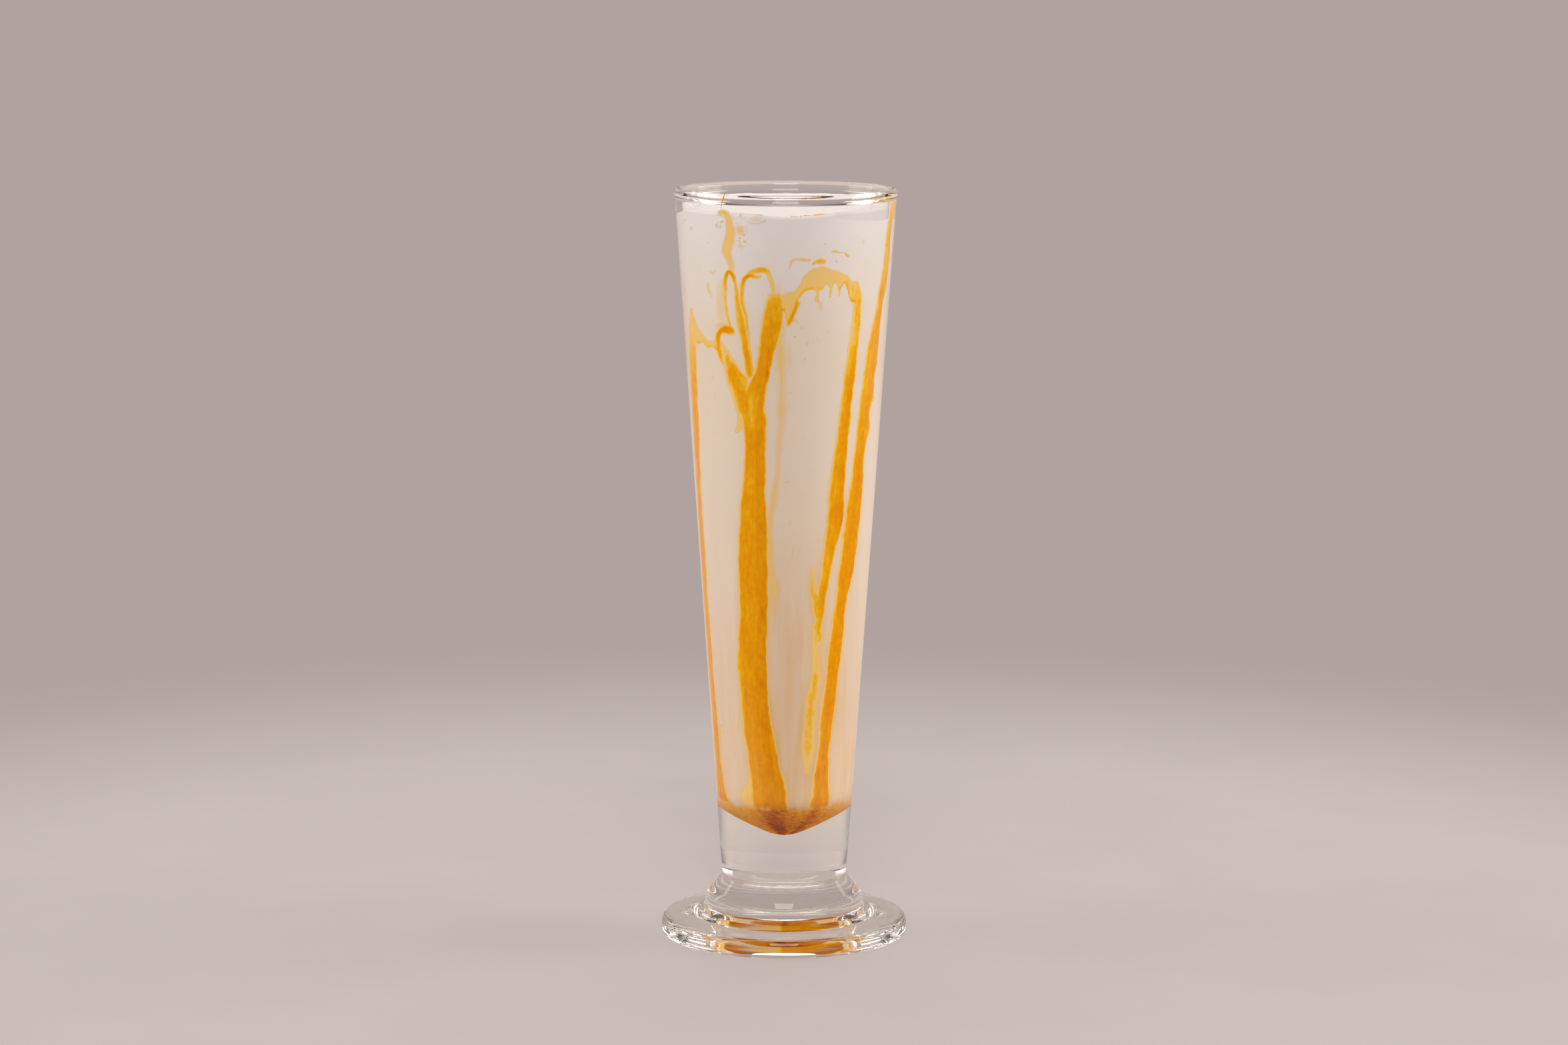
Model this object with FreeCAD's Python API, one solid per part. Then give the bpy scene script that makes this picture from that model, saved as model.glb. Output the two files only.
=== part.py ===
# Caramel milkshake in a tall footed pilsner glass.
#
# Three solids stand on one axis:
#   glass      a turned glass: foot disc, stepped dome, neck, long conical wall, rounded rim
#   milkshake  the drink, filling the bowl up to its level and creeping a little up the wall
#   caramel    the syrup: a pool in the point of the bowl, with runs that climb the wall from it
# Millimetres, +Z up, origin on the axis at the underside of the foot.
import FreeCAD, Part
import math
import os

# ---- glass, outside ---------------------------------------------------------------------------
HEIGHT = 240.0            # foot to rim
WALL_RADIUS_AT_ZERO = 18.74   # the conical wall carried down to the table
WALL_FLARE = 0.0688       # growth of the outer radius for each millimetre of height
FOOT_RADIUS = 39.5
FOOT_EDGE_HEIGHT = 5.9    # thickness of the disc at its edge
FOOT_TOP_ROUND = 2.5      # rounding of the disc's upper edge
FOOT_BOTTOM_ROUND = 0.9   # rounding of the disc's lower edge
REST_RING_RADIUS = 33.0   # inside this radius the underside is hollowed
KICK_HEIGHT = 5.2         # height of that hollow on the axis
STEP_RADIUS = 29.3        # low step round the dome, at its base
STEP_HEIGHT = 8.1         # upper edge of the step, above the table
DOME_RADIUS = 25.1
DOME_BASE_HEIGHT = 9.0    # where the dome's side meets the step
SHOULDER_RADIUS = 24.9    # corner of the dome's shoulder, before its rounding
SHOULDER_HEIGHT = 13.2
SHOULDER_ROUND = 5.5
NECK_RADIUS = 19.95
NECK_HEIGHT = 19.3        # foot of the narrow band above the dome
NECK_TOP = 20.7           # from here the band widens into the wall's cone
CONE_BASE = 24.7          # and here the cone begins
BEAD_HEIGHT = 3.2         # rounded bead at the rim
BEAD_THICKNESS = 3.1
BEAD_PROUD = 0.3          # how far the bead stands outside the wall

# ---- glass, inside ----------------------------------------------------------------------------
WELL_HEIGHT = 33.5        # lowest point of the bowl, on the axis
WELL_SLOPE_DEG = 31.0     # slope of the bowl's pointed bottom
WELL_POINT_ROUND = 7.0
WELL_SIDE_ROUND = 9.0     # rounding from the bottom into the wall
BORE_BASE_HEIGHT = 43.0
BORE_BASE_RADIUS = 17.3
RIM_WALL = 2.0            # wall thickness just under the bead

# ---- drink ------------------------------------------------------------------------------------
LEVEL = 233.3             # height of the drink's surface
CREEP = 1.0               # how far the drink creeps up the wall above its level
CREEP_WIDTH = 1.7
POOL_HEIGHT = 44.3        # top of the syrup pool at the wall
POOL_DIP = 2.2            # the pool's top is this much lower on the axis

# ---- syrup on the wall ------------------------------------------------------------------------
# Azimuths are degrees round the axis: 0 faces -Y, the shown side, and +90 faces +X.
RUN_DEPTH = 0.9           # thickness of a run at its middle
RUN_EDGE_DEPTH = 0.3      # and at its sides
RUN_OVERSIZE = 1.0        # a run is made this much too wide outwards, then trimmed by the bowl
# Runs that go down the wall: height, left azimuth, right azimuth.
RUNS = {
    "main": [(207, -8, -2), (198, -12.5, -3.5), (188, -17, -8.5), (177, -26, -12.5), (150, -29, -13.5),
             (120, -35.5, -13), (92, -41, -15), (68, -38, -12), (41, -32, 1)],
    "fork": [(197, -43, -36), (191, -41, -33), (185, -36, -27), (177, -30, -20), (170, -26, -18)],
    "left": [(202, -71, -65), (190, -76, -66), (175, -80.5, -70.5), (140, -85.5, -76.5), (95, -91, -79), (41, -93, -69)],
    "right": [(207, 40, 48), (190, 38.5, 47), (165, 34, 44), (138, 30, 43.5), (120, 27, 35), (104, 23.2, 29),
              (82, 20, 27), (66, 18, 25), (57, 19, 24)],
    "far right": [(231, 70, 81), (212, 67, 76.5), (182, 54, 67.5), (142, 47, 62), (100, 37, 50), (62, 29, 43), (41, 24, 47)],
}
# Webs that go round the wall: azimuth, lower height, upper height.
WEBS = {
    "arch": [(-9, 199, 206), (-3, 202, 210), (5, 206, 212), (12, 210.3, 216.5), (20, 210.8, 218.4), (28, 211, 217.6),
             (36, 210.5, 215.6), (42, 204.5, 212), (47, 202, 208)],
    "left web": [(-72, 187, 201), (-64, 191, 199.5), (-55, 191.5, 195), (-46, 190, 193.5), (-38, 187, 193)],
}

BEAD_BASE = HEIGHT - BEAD_HEIGHT


def wall_radius(height):
    """Outer radius of the conical wall at a height."""
    return WALL_RADIUS_AT_ZERO + WALL_FLARE * height


def bore_radius(height):
    """Inner radius of the wall at a height; the bore flares a little more than the outside."""
    top_radius = wall_radius(BEAD_BASE) - RIM_WALL
    share = (height - BORE_BASE_HEIGHT) / (BEAD_BASE - BORE_BASE_HEIGHT)
    return BORE_BASE_RADIUS + share * (top_radius - BORE_BASE_RADIUS)


def point(radius, height):
    """A point of a half section, in the XZ plane."""
    return FreeCAD.Vector(radius, 0, height)


def rounded_edges(corners):
    """Straight edges through corners (radius, height, rounding), with a tangent arc at each rounding."""
    edges = []
    start = point(*corners[0][:2])
    for before, corner, after in zip(corners, corners[1:], corners[2:]):
        apex = point(*corner[:2])
        back = (point(*before[:2]) - apex).normalize()
        ahead = (point(*after[:2]) - apex).normalize()
        rounding = corner[2]
        if rounding > 0:
            half = back.getAngle(ahead) / 2
            leave = apex + back * (rounding / math.tan(half))
            rejoin = apex + ahead * (rounding / math.tan(half))
            middle = apex + (back + ahead).normalize() * (rounding / math.sin(half) - rounding)
            edges.append(Part.LineSegment(start, leave).toShape())
            edges.append(Part.Arc(leave, middle, rejoin).toShape())
            start = rejoin
        else:
            edges.append(Part.LineSegment(start, apex).toShape())
            start = apex
    edges.append(Part.LineSegment(start, point(*corners[-1][:2])).toShape())
    return edges


def turned(edges):
    """The solid that a closed half section makes when it is turned about the axis."""
    face = Part.Face(Part.Wire(Part.__sortEdges__(edges)))
    return face.revolve(FreeCAD.Vector(0, 0, 0), FreeCAD.Vector(0, 0, 1), 360)


def well_edges():
    """Edges of the bowl's inside: rounded point, sloping bottom, and rounding into the bore."""
    angle = math.radians(WELL_SLOPE_DEG)
    slope = math.tan(angle)
    # the sloping bottom meets the bore's line at about this radius
    side_radius = bore_radius(WELL_HEIGHT + slope * BORE_BASE_RADIUS)
    # the rounded point lifts the bottom, so the bare cone starts lower
    cone_tip = WELL_HEIGHT - WELL_POINT_ROUND * (1 / math.cos(angle) - 1)
    centre_height = WELL_HEIGHT + WELL_POINT_ROUND

    def on_point(turn):
        return point(WELL_POINT_ROUND * math.sin(turn), centre_height - WELL_POINT_ROUND * math.cos(turn))

    rounded_point = Part.Arc(on_point(0), on_point(angle / 2), on_point(angle)).toShape()
    leave = on_point(angle)
    corner = (side_radius, cone_tip + slope * side_radius, WELL_SIDE_ROUND)
    top = (bore_radius(BORE_BASE_HEIGHT + WELL_SIDE_ROUND), BORE_BASE_HEIGHT + WELL_SIDE_ROUND, 0)
    return [rounded_point] + rounded_edges([(leave.x, leave.z, 0), corner, top])


def make_glass():
    """The glass: one half section, outside and inside, turned about the axis."""
    inner_bead_radius = wall_radius(BEAD_BASE) + BEAD_PROUD - BEAD_THICKNESS
    outer_bead_radius = wall_radius(BEAD_BASE) + BEAD_PROUD
    bead_round = 0.49 * BEAD_THICKNESS
    outside = [
        (REST_RING_RADIUS, 0, 0),
        (FOOT_RADIUS, 0, FOOT_BOTTOM_ROUND),
        (FOOT_RADIUS, FOOT_EDGE_HEIGHT, FOOT_TOP_ROUND),
        (STEP_RADIUS, FOOT_EDGE_HEIGHT + 0.5, 1.0),
        (STEP_RADIUS - 1.5, STEP_HEIGHT, 1.0),
        (DOME_RADIUS + 0.3, DOME_BASE_HEIGHT, 1.2),
        (SHOULDER_RADIUS, SHOULDER_HEIGHT, SHOULDER_ROUND),
        (NECK_RADIUS, NECK_HEIGHT, 1.4),
        (NECK_RADIUS, NECK_TOP, 3.0),
        (wall_radius(CONE_BASE), CONE_BASE, 3.0),
        (wall_radius(BEAD_BASE), BEAD_BASE, 0.5),
        (outer_bead_radius, BEAD_BASE + 0.5, 0.6),
        (outer_bead_radius, HEIGHT, bead_round),
        (inner_bead_radius, HEIGHT, bead_round),
        (inner_bead_radius, BEAD_BASE + 1.5, 0.9),
        (bore_radius(BEAD_BASE + 0.3), BEAD_BASE + 0.3, 1.2),
        (bore_radius(BORE_BASE_HEIGHT + WELL_SIDE_ROUND), BORE_BASE_HEIGHT + WELL_SIDE_ROUND, 0),
    ]
    sphere = (REST_RING_RADIUS ** 2 + KICK_HEIGHT ** 2) / (2 * KICK_HEIGHT)
    halfway = KICK_HEIGHT - sphere + math.sqrt(sphere ** 2 - (REST_RING_RADIUS / 2) ** 2)
    underside = Part.Arc(point(0, KICK_HEIGHT), point(REST_RING_RADIUS / 2, halfway),
                         point(REST_RING_RADIUS, 0)).toShape()
    axis = Part.LineSegment(point(0, KICK_HEIGHT), point(0, WELL_HEIGHT)).toShape()
    return turned([underside] + rounded_edges(outside) + well_edges() + [axis])


def make_fill():
    """Everything that fills the bowl: drink and syrup together, up to the level and its creep."""
    top_radius = bore_radius(LEVEL + CREEP)
    upper = [
        (bore_radius(BORE_BASE_HEIGHT + WELL_SIDE_ROUND), BORE_BASE_HEIGHT + WELL_SIDE_ROUND, 0),
        (top_radius, LEVEL + CREEP, 0),
        (top_radius - 0.3, LEVEL + CREEP, 0),
        (top_radius - 0.5, LEVEL, CREEP_WIDTH / 2),
        (0, LEVEL, 0),
    ]
    axis = Part.LineSegment(point(0, LEVEL), point(0, WELL_HEIGHT)).toShape()
    return turned(well_edges() + rounded_edges(upper) + [axis])


def make_pool(fill):
    """The syrup pool: the lowest part of the fill, under a shallow dish."""
    reach = bore_radius(POOL_HEIGHT) + 5
    dish = [
        (0, WELL_HEIGHT - 5, 0),
        (reach, WELL_HEIGHT - 5, 0),
        (reach, POOL_HEIGHT, 0),
        (bore_radius(POOL_HEIGHT), POOL_HEIGHT, 12.0),
        (0, POOL_HEIGHT - POOL_DIP, 0),
    ]
    axis = Part.LineSegment(point(0, POOL_HEIGHT - POOL_DIP), point(0, WELL_HEIGHT - 5)).toShape()
    return fill.common(turned(rounded_edges(dish) + [axis]))


def on_wall(azimuth, height, inset):
    """A point at an azimuth and height, a given distance inside the bowl's wall."""
    radius = bore_radius(height) - inset
    angle = math.radians(azimuth)
    return FreeCAD.Vector(radius * math.sin(angle), -radius * math.cos(angle), height)


def run_section(first, last):
    """Outline of a run between two places (azimuth, height): thick at its middle, thin at its sides."""
    (a, low), (b, high) = first, last
    insets = [(0.0, -RUN_OVERSIZE), (1.0, -RUN_OVERSIZE), (1.0, RUN_EDGE_DEPTH),
              (0.7, RUN_DEPTH), (0.3, RUN_DEPTH), (0.0, RUN_EDGE_DEPTH)]
    corners = [on_wall(a + share * (b - a), low + share * (high - low), inset) for share, inset in insets]
    return Part.makePolygon(corners + corners[:1])


def make_runs(fill):
    """The syrup on the wall: each run and web lofted through its sections and trimmed to the bowl."""
    lofts = [[run_section((left, height), (right, height)) for height, left, right in rows] for rows in RUNS.values()]
    lofts += [[run_section((azimuth, low), (azimuth, high)) for azimuth, low, high in rows] for rows in WEBS.values()]
    return [Part.makeLoft(sections, True, True).common(fill) for sections in lofts]


def one_solid(shape, name):
    """The only solid of a shape; stops the build where there is another number of them or it is not valid."""
    solids = shape.Solids
    if len(solids) != 1:
        raise ValueError(name + " has " + str(len(solids)) + " solids")
    solid = solids[0]
    if not solid.isValid():
        raise ValueError(name + " is not valid")
    return solid


def main():
    """Builds the three solids and writes one STEP file for each."""
    fill = make_fill()
    caramel = make_pool(fill).multiFuse(make_runs(fill))
    parts = {
        "glass": make_glass(),
        "milkshake": fill.cut(caramel),
        "caramel": caramel,
    }
    os.makedirs("parts", exist_ok=True)
    for name, shape in parts.items():
        solid = one_solid(shape, name)
        solid.exportStep("parts/" + name + ".step")
        print(name, "volume", round(solid.Volume / 1000, 2), "cm3, box", solid.BoundBox)


main()
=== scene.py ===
"""Caramel milkshake in a tall footed pilsner glass: the looks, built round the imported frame.

Every shape is a surface of two parameters worked out with numpy. Lengths are in millimetres while a
shape is being made, and become metres when it goes into its mesh. Azimuth is the angle round the axis
of the glass in degrees: 0 faces -Y, the shown side, and +90 faces +X. Height is above the table.
"""
import logging
import math
from collections.abc import Callable
from dataclasses import dataclass
from enum import Enum

import bpy
import numpy as np
from mathutils import Matrix, Vector


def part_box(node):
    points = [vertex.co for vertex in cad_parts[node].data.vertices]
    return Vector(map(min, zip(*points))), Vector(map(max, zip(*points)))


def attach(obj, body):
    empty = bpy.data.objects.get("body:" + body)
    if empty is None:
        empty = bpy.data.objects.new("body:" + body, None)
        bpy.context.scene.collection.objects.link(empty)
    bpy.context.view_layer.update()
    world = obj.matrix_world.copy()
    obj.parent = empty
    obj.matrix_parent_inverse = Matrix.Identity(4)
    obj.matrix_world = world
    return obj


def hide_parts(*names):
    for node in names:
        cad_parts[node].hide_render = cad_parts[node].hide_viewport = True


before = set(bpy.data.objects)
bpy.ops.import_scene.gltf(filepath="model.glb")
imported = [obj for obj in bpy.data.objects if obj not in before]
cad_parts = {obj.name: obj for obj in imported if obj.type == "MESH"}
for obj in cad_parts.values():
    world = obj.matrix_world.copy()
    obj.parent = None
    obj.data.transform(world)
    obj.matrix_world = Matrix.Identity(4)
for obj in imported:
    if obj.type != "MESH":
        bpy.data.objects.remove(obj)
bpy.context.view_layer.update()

MM = 0.001
LOG = logging.getLogger("milkshake")


# ---- small numeric helpers --------------------------------------------------------------------


def ease(low: float, high: float, x: np.ndarray) -> np.ndarray:
    """Rise from 0 at low to 1 at high: 3t^2 - 2t^3, where t is the clipped share of the way.

    Args:
        low: Where the rise starts.
        high: Where it ends.
        x: Values to map.

    Returns:
        The risen values, each from 0 to 1.
    """
    t = np.clip((x - low) / (high - low), 0.0, 1.0)
    return t * t * (3.0 - 2.0 * t)


def curve(x: np.ndarray, knots: np.ndarray, values: np.ndarray) -> np.ndarray:
    """Smooth line through knots: a cubic between each two.

    The slope at a knot is halfway between those towards its neighbours.

    Args:
        x: Where to read the line.
        knots: Rising places of the knots.
        values: The line's value at each knot.

    Returns:
        The line's value at every x, held level outside the knots.
    """
    slopes = np.gradient(values, knots)
    x = np.clip(x, knots[0], knots[-1])
    i = np.clip(np.searchsorted(knots, x, side="right") - 1, 0, len(knots) - 2)
    span = knots[i + 1] - knots[i]
    t = (x - knots[i]) / span
    return (
        (1 + 2 * t) * (1 - t) ** 2 * values[i]
        + t * (1 - t) ** 2 * span * slopes[i]
        + t * t * (3 - 2 * t) * values[i + 1]
        + t * t * (t - 1) * span * slopes[i + 1]
    )


class Ripple:
    """Smooth random relief over a plane, the same each run.

    A square lattice of seeded random numbers is read between its points with an eased blend.
    """

    CELLS = 64
    LAYER_SHIFTS = (17, 31)

    def __init__(self, seed: int) -> None:
        """Fills the lattice.

        Args:
            seed: Seed of the random numbers.
        """
        self.lattice = np.random.default_rng(seed).random((self.CELLS, self.CELLS))

    def at(self, x: np.ndarray, y: np.ndarray) -> np.ndarray:
        """Relief at points of the plane.

        Args:
            x: First coordinate, in cells.
            y: Second coordinate, in cells.

        Returns:
            Relief from -1 to 1.
        """
        column, row = np.floor(x).astype(int), np.floor(y).astype(int)
        u, v = ease(0, 1, x - column), ease(0, 1, y - row)
        left, right = column % self.CELLS, (column + 1) % self.CELLS
        low, high = row % self.CELLS, (row + 1) % self.CELLS
        lower = self.lattice[low, left] * (1 - u) + self.lattice[low, right] * u
        upper = self.lattice[high, left] * (1 - u) + self.lattice[high, right] * u
        return 2 * (lower * (1 - v) + upper * v) - 1

    def layered(self, x: np.ndarray, y: np.ndarray, layers: int = 3) -> np.ndarray:
        """Relief summed over layers, each twice as fine and half as high as the one before.

        Args:
            x: First coordinate, in cells of the coarsest layer.
            y: Second coordinate.
            layers: How many layers.

        Returns:
            Relief from about -1 to 1.
        """
        aside, upward = self.LAYER_SHIFTS
        total = sum(
            self.at(x * 2**k + aside * k, y * 2**k + upward * k) / 2**k for k in range(layers)
        )
        return total / (2 - 2.0 ** (1 - layers))


# degrees in a cell of relief, so that the lattice closes round the glass
RELIEF_TURN = 360 / Ripple.CELLS


def linear(red: int, green: int, blue: int) -> tuple[float, float, float, float]:
    """Turns a display colour, 0 to 255 a channel, into the linear colour that a shader takes.

    Args:
        red: Red channel.
        green: Green channel.
        blue: Blue channel.

    Returns:
        Linear red, green, blue and an alpha of 1.
    """
    channels = [c / 255 for c in (red, green, blue)]
    return (*(c / 12.92 if c <= 0.04045 else ((c + 0.055) / 1.055) ** 2.4 for c in channels), 1.0)


# ---- meshes -----------------------------------------------------------------------------------


def make_piece(
    name: str, points: np.ndarray, faces: list[np.ndarray], attributes: dict[str, np.ndarray] | None = None
) -> bpy.types.Object:
    """Puts points and faces into a smooth-shaded mesh whose object sits at the origin.

    Args:
        name: Name of the piece.
        points: Vertex positions in millimetres, one row each.
        faces: Arrays of vertex indices, each array holding faces of one size.
        attributes: One number for each vertex, by attribute name.

    Returns:
        The new object, linked to the scene.
    """
    mesh = bpy.data.meshes.new(name)
    mesh.vertices.add(len(points))
    mesh.vertices.foreach_set("co", (points * MM).astype(np.float32).ravel())
    corners = np.concatenate([f.ravel() for f in faces])
    sizes = np.concatenate([np.full(len(f), f.shape[1]) for f in faces])
    mesh.loops.add(len(corners))
    mesh.loops.foreach_set("vertex_index", corners.astype(np.int32))
    mesh.polygons.add(len(sizes))
    mesh.polygons.foreach_set("loop_start", np.concatenate([[0], np.cumsum(sizes)[:-1]]).astype(np.int32))
    mesh.polygons.foreach_set("use_smooth", np.ones(len(sizes), bool))
    mesh.update(calc_edges=True)
    for key, values in (attributes or {}).items():
        layer = mesh.attributes.new(key, "FLOAT", "POINT")
        layer.data.foreach_set("value", values.astype(np.float32).ravel())
    piece = bpy.data.objects.new(name, mesh)
    bpy.context.scene.collection.objects.link(piece)
    LOG.info("%s: %d points, %d faces", name, len(points), len(sizes))
    return piece


def grid_quads(rows: int, columns: int, wrap: bool) -> np.ndarray:
    """Quads between the points of a grid that is stored row by row.

    Args:
        rows: Number of rows of points.
        columns: Number of points in a row.
        wrap: Whether the last point of a row joins the first.

    Returns:
        Four vertex indices for each quad.
    """
    reach = columns if wrap else columns - 1
    row, column = np.meshgrid(np.arange(rows - 1), np.arange(reach), indexing="ij")
    start, after = row * columns, (column + 1) % columns
    return np.stack(
        [start + column, start + after, start + columns + after, start + columns + column], -1
    ).reshape(-1, 4)


def round_axis(radius: np.ndarray, angle: np.ndarray, height: np.ndarray | float) -> np.ndarray:
    """Points round the axis: (radius sin angle, -radius cos angle, height).

    Args:
        radius: Distances from the axis.
        angle: Azimuths in radians.
        height: Heights; all three spread over a common shape.

    Returns:
        One row for each point.
    """
    x, y = radius * np.sin(angle), -radius * np.cos(angle)
    return np.stack(np.broadcast_arrays(x, y, height), -1).reshape(-1, 3)


def turned(
    name: str,
    section: np.ndarray,
    steps: int,
    attributes: dict[str, np.ndarray] | None = None,
    lift: np.ndarray | float = 0.0,
) -> bpy.types.Object:
    """Turns a half section that starts and ends on the axis into a closed piece.

    Each point of the section makes a ring round the axis; the two ends stay single points.

    Args:
        name: Name of the piece.
        section: Radius and height of each point, from the axis's lower end, up outside, to its upper end.
        steps: Points round the axis.
        attributes: Values on the grid of rings by steps, one for each vertex of a ring.
        lift: Millimetres to raise each vertex of that grid by.

    Returns:
        The new object.
    """
    azimuth = np.arange(steps) * 2 * np.pi / steps
    rings = section[1:-1]
    radius, height = rings[:, :1], rings[:, 1:]
    body = round_axis(radius, azimuth, height + lift)
    first, last = len(body), len(body) + 1
    points = np.vstack([body, [0, 0, section[0, 1]], [0, 0, section[-1, 1]]])
    around = np.arange(steps)
    following = (around + 1) % steps
    top = (len(rings) - 1) * steps
    fans = np.vstack(
        [
            np.stack([np.full(steps, first), following, around], -1),
            np.stack([np.full(steps, last), top + around, top + following], -1),
        ]
    )
    full = {}
    for key, values in (attributes or {}).items():
        full[key] = np.concatenate([values.ravel(), [values[0].mean(), values[-1].mean()]])
    return make_piece(name, points, [grid_quads(len(rings), steps, True), fans], full)


def rounded_outline(corners: list[tuple[float, float, float]], turn_step: float = 6.0) -> np.ndarray:
    """Points along straight runs with a tangent arc at each rounded corner.

    The arc starts rounding / tan(half the corner's angle) before the corner. Close to each end of a
    straight run stands one more point, so that smooth shading stays true along the run.

    Args:
        corners: Radius, height and rounding of each corner.
        turn_step: Degrees of turn between points of an arc.

    Returns:
        Radius and height of each point.
    """
    places = np.array([c[:2] for c in corners], float)
    points = [places[0]]
    roundings = [c[2] for c in corners[1:-1]]
    for before, corner, after, rounding in zip(places, places[1:], places[2:], roundings):
        back = (before - corner) / np.linalg.norm(before - corner)
        ahead = (after - corner) / np.linalg.norm(after - corner)
        half = math.acos(float(np.clip(back @ ahead, -1, 1))) / 2
        if rounding <= 0:
            points.append(corner)
            continue
        leave = corner + back * rounding / math.tan(half)
        rejoin = corner + ahead * rounding / math.tan(half)
        centre = corner + (back + ahead) / np.linalg.norm(back + ahead) * rounding / math.sin(half)
        turn = math.pi - 2 * half
        start, end = leave - centre, rejoin - centre
        for share in np.linspace(0, 1, max(3, round(math.degrees(turn) / turn_step) + 1)):
            mix = math.sin((1 - share) * turn) * start + math.sin(share * turn) * end
            points.append(centre + mix / math.sin(turn))
    points.append(places[-1])
    return supported(np.array(points))


def supported(points: np.ndarray, margin: float = 0.12, longest: float = 1.0) -> np.ndarray:
    """Adds a point close to each end of every long straight run.

    Args:
        points: Points of an outline.
        margin: Distance of the added points from the run's ends.
        longest: Runs longer than this get them.

    Returns:
        The outline with its added points.
    """
    out = [points[0]]
    for a, b in zip(points, points[1:]):
        length = np.linalg.norm(b - a)
        if length > longest:
            out += [a + (b - a) * margin / length, b - (b - a) * margin / length]
        out.append(b)
    keep = [0] + [i for i in range(1, len(out)) if np.linalg.norm(out[i] - out[i - 1]) > 1e-4]
    return np.array([out[i] for i in keep])


# ---- shader nodes -----------------------------------------------------------------------------


def math_method(operation: str, swapped: bool = False) -> Callable[["Value", "Value | float"], "Value"]:
    """Makes a method of Value that adds the Math node of one operation.

    Args:
        operation: The node's operation.
        swapped: Whether the other operand comes first.

    Returns:
        The method.
    """

    def method(value: "Value", other: "Value | float") -> "Value":
        """Adds the node on the value and the other operand."""
        first, second = (other, value) if swapped else (value, other)
        return value.nodes.add("ShaderNodeMath", {"operation": operation}, {0: first, 1: second})

    return method


class Value:
    """A socket that can stand in arithmetic: each operation adds the Math node that works it out."""

    __add__ = math_method("ADD")
    __sub__ = math_method("SUBTRACT")
    __rsub__ = math_method("SUBTRACT", swapped=True)
    __mul__ = math_method("MULTIPLY")
    __truediv__ = math_method("DIVIDE")
    larger = math_method("MAXIMUM")

    def __init__(self, nodes: "Nodes", socket: bpy.types.NodeSocket) -> None:
        """Wraps a socket.

        Args:
            nodes: The tree it belongs to.
            socket: An output socket.
        """
        self.nodes, self.socket = nodes, socket

    def risen(self, low: float, high: float) -> "Value":
        """Eased rise from 0 at low to 1 at high."""
        inputs = {"Value": self, "From Min": low, "From Max": high}
        return self.nodes.add("ShaderNodeMapRange", {"interpolation_type": "SMOOTHSTEP"}, inputs)


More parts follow.
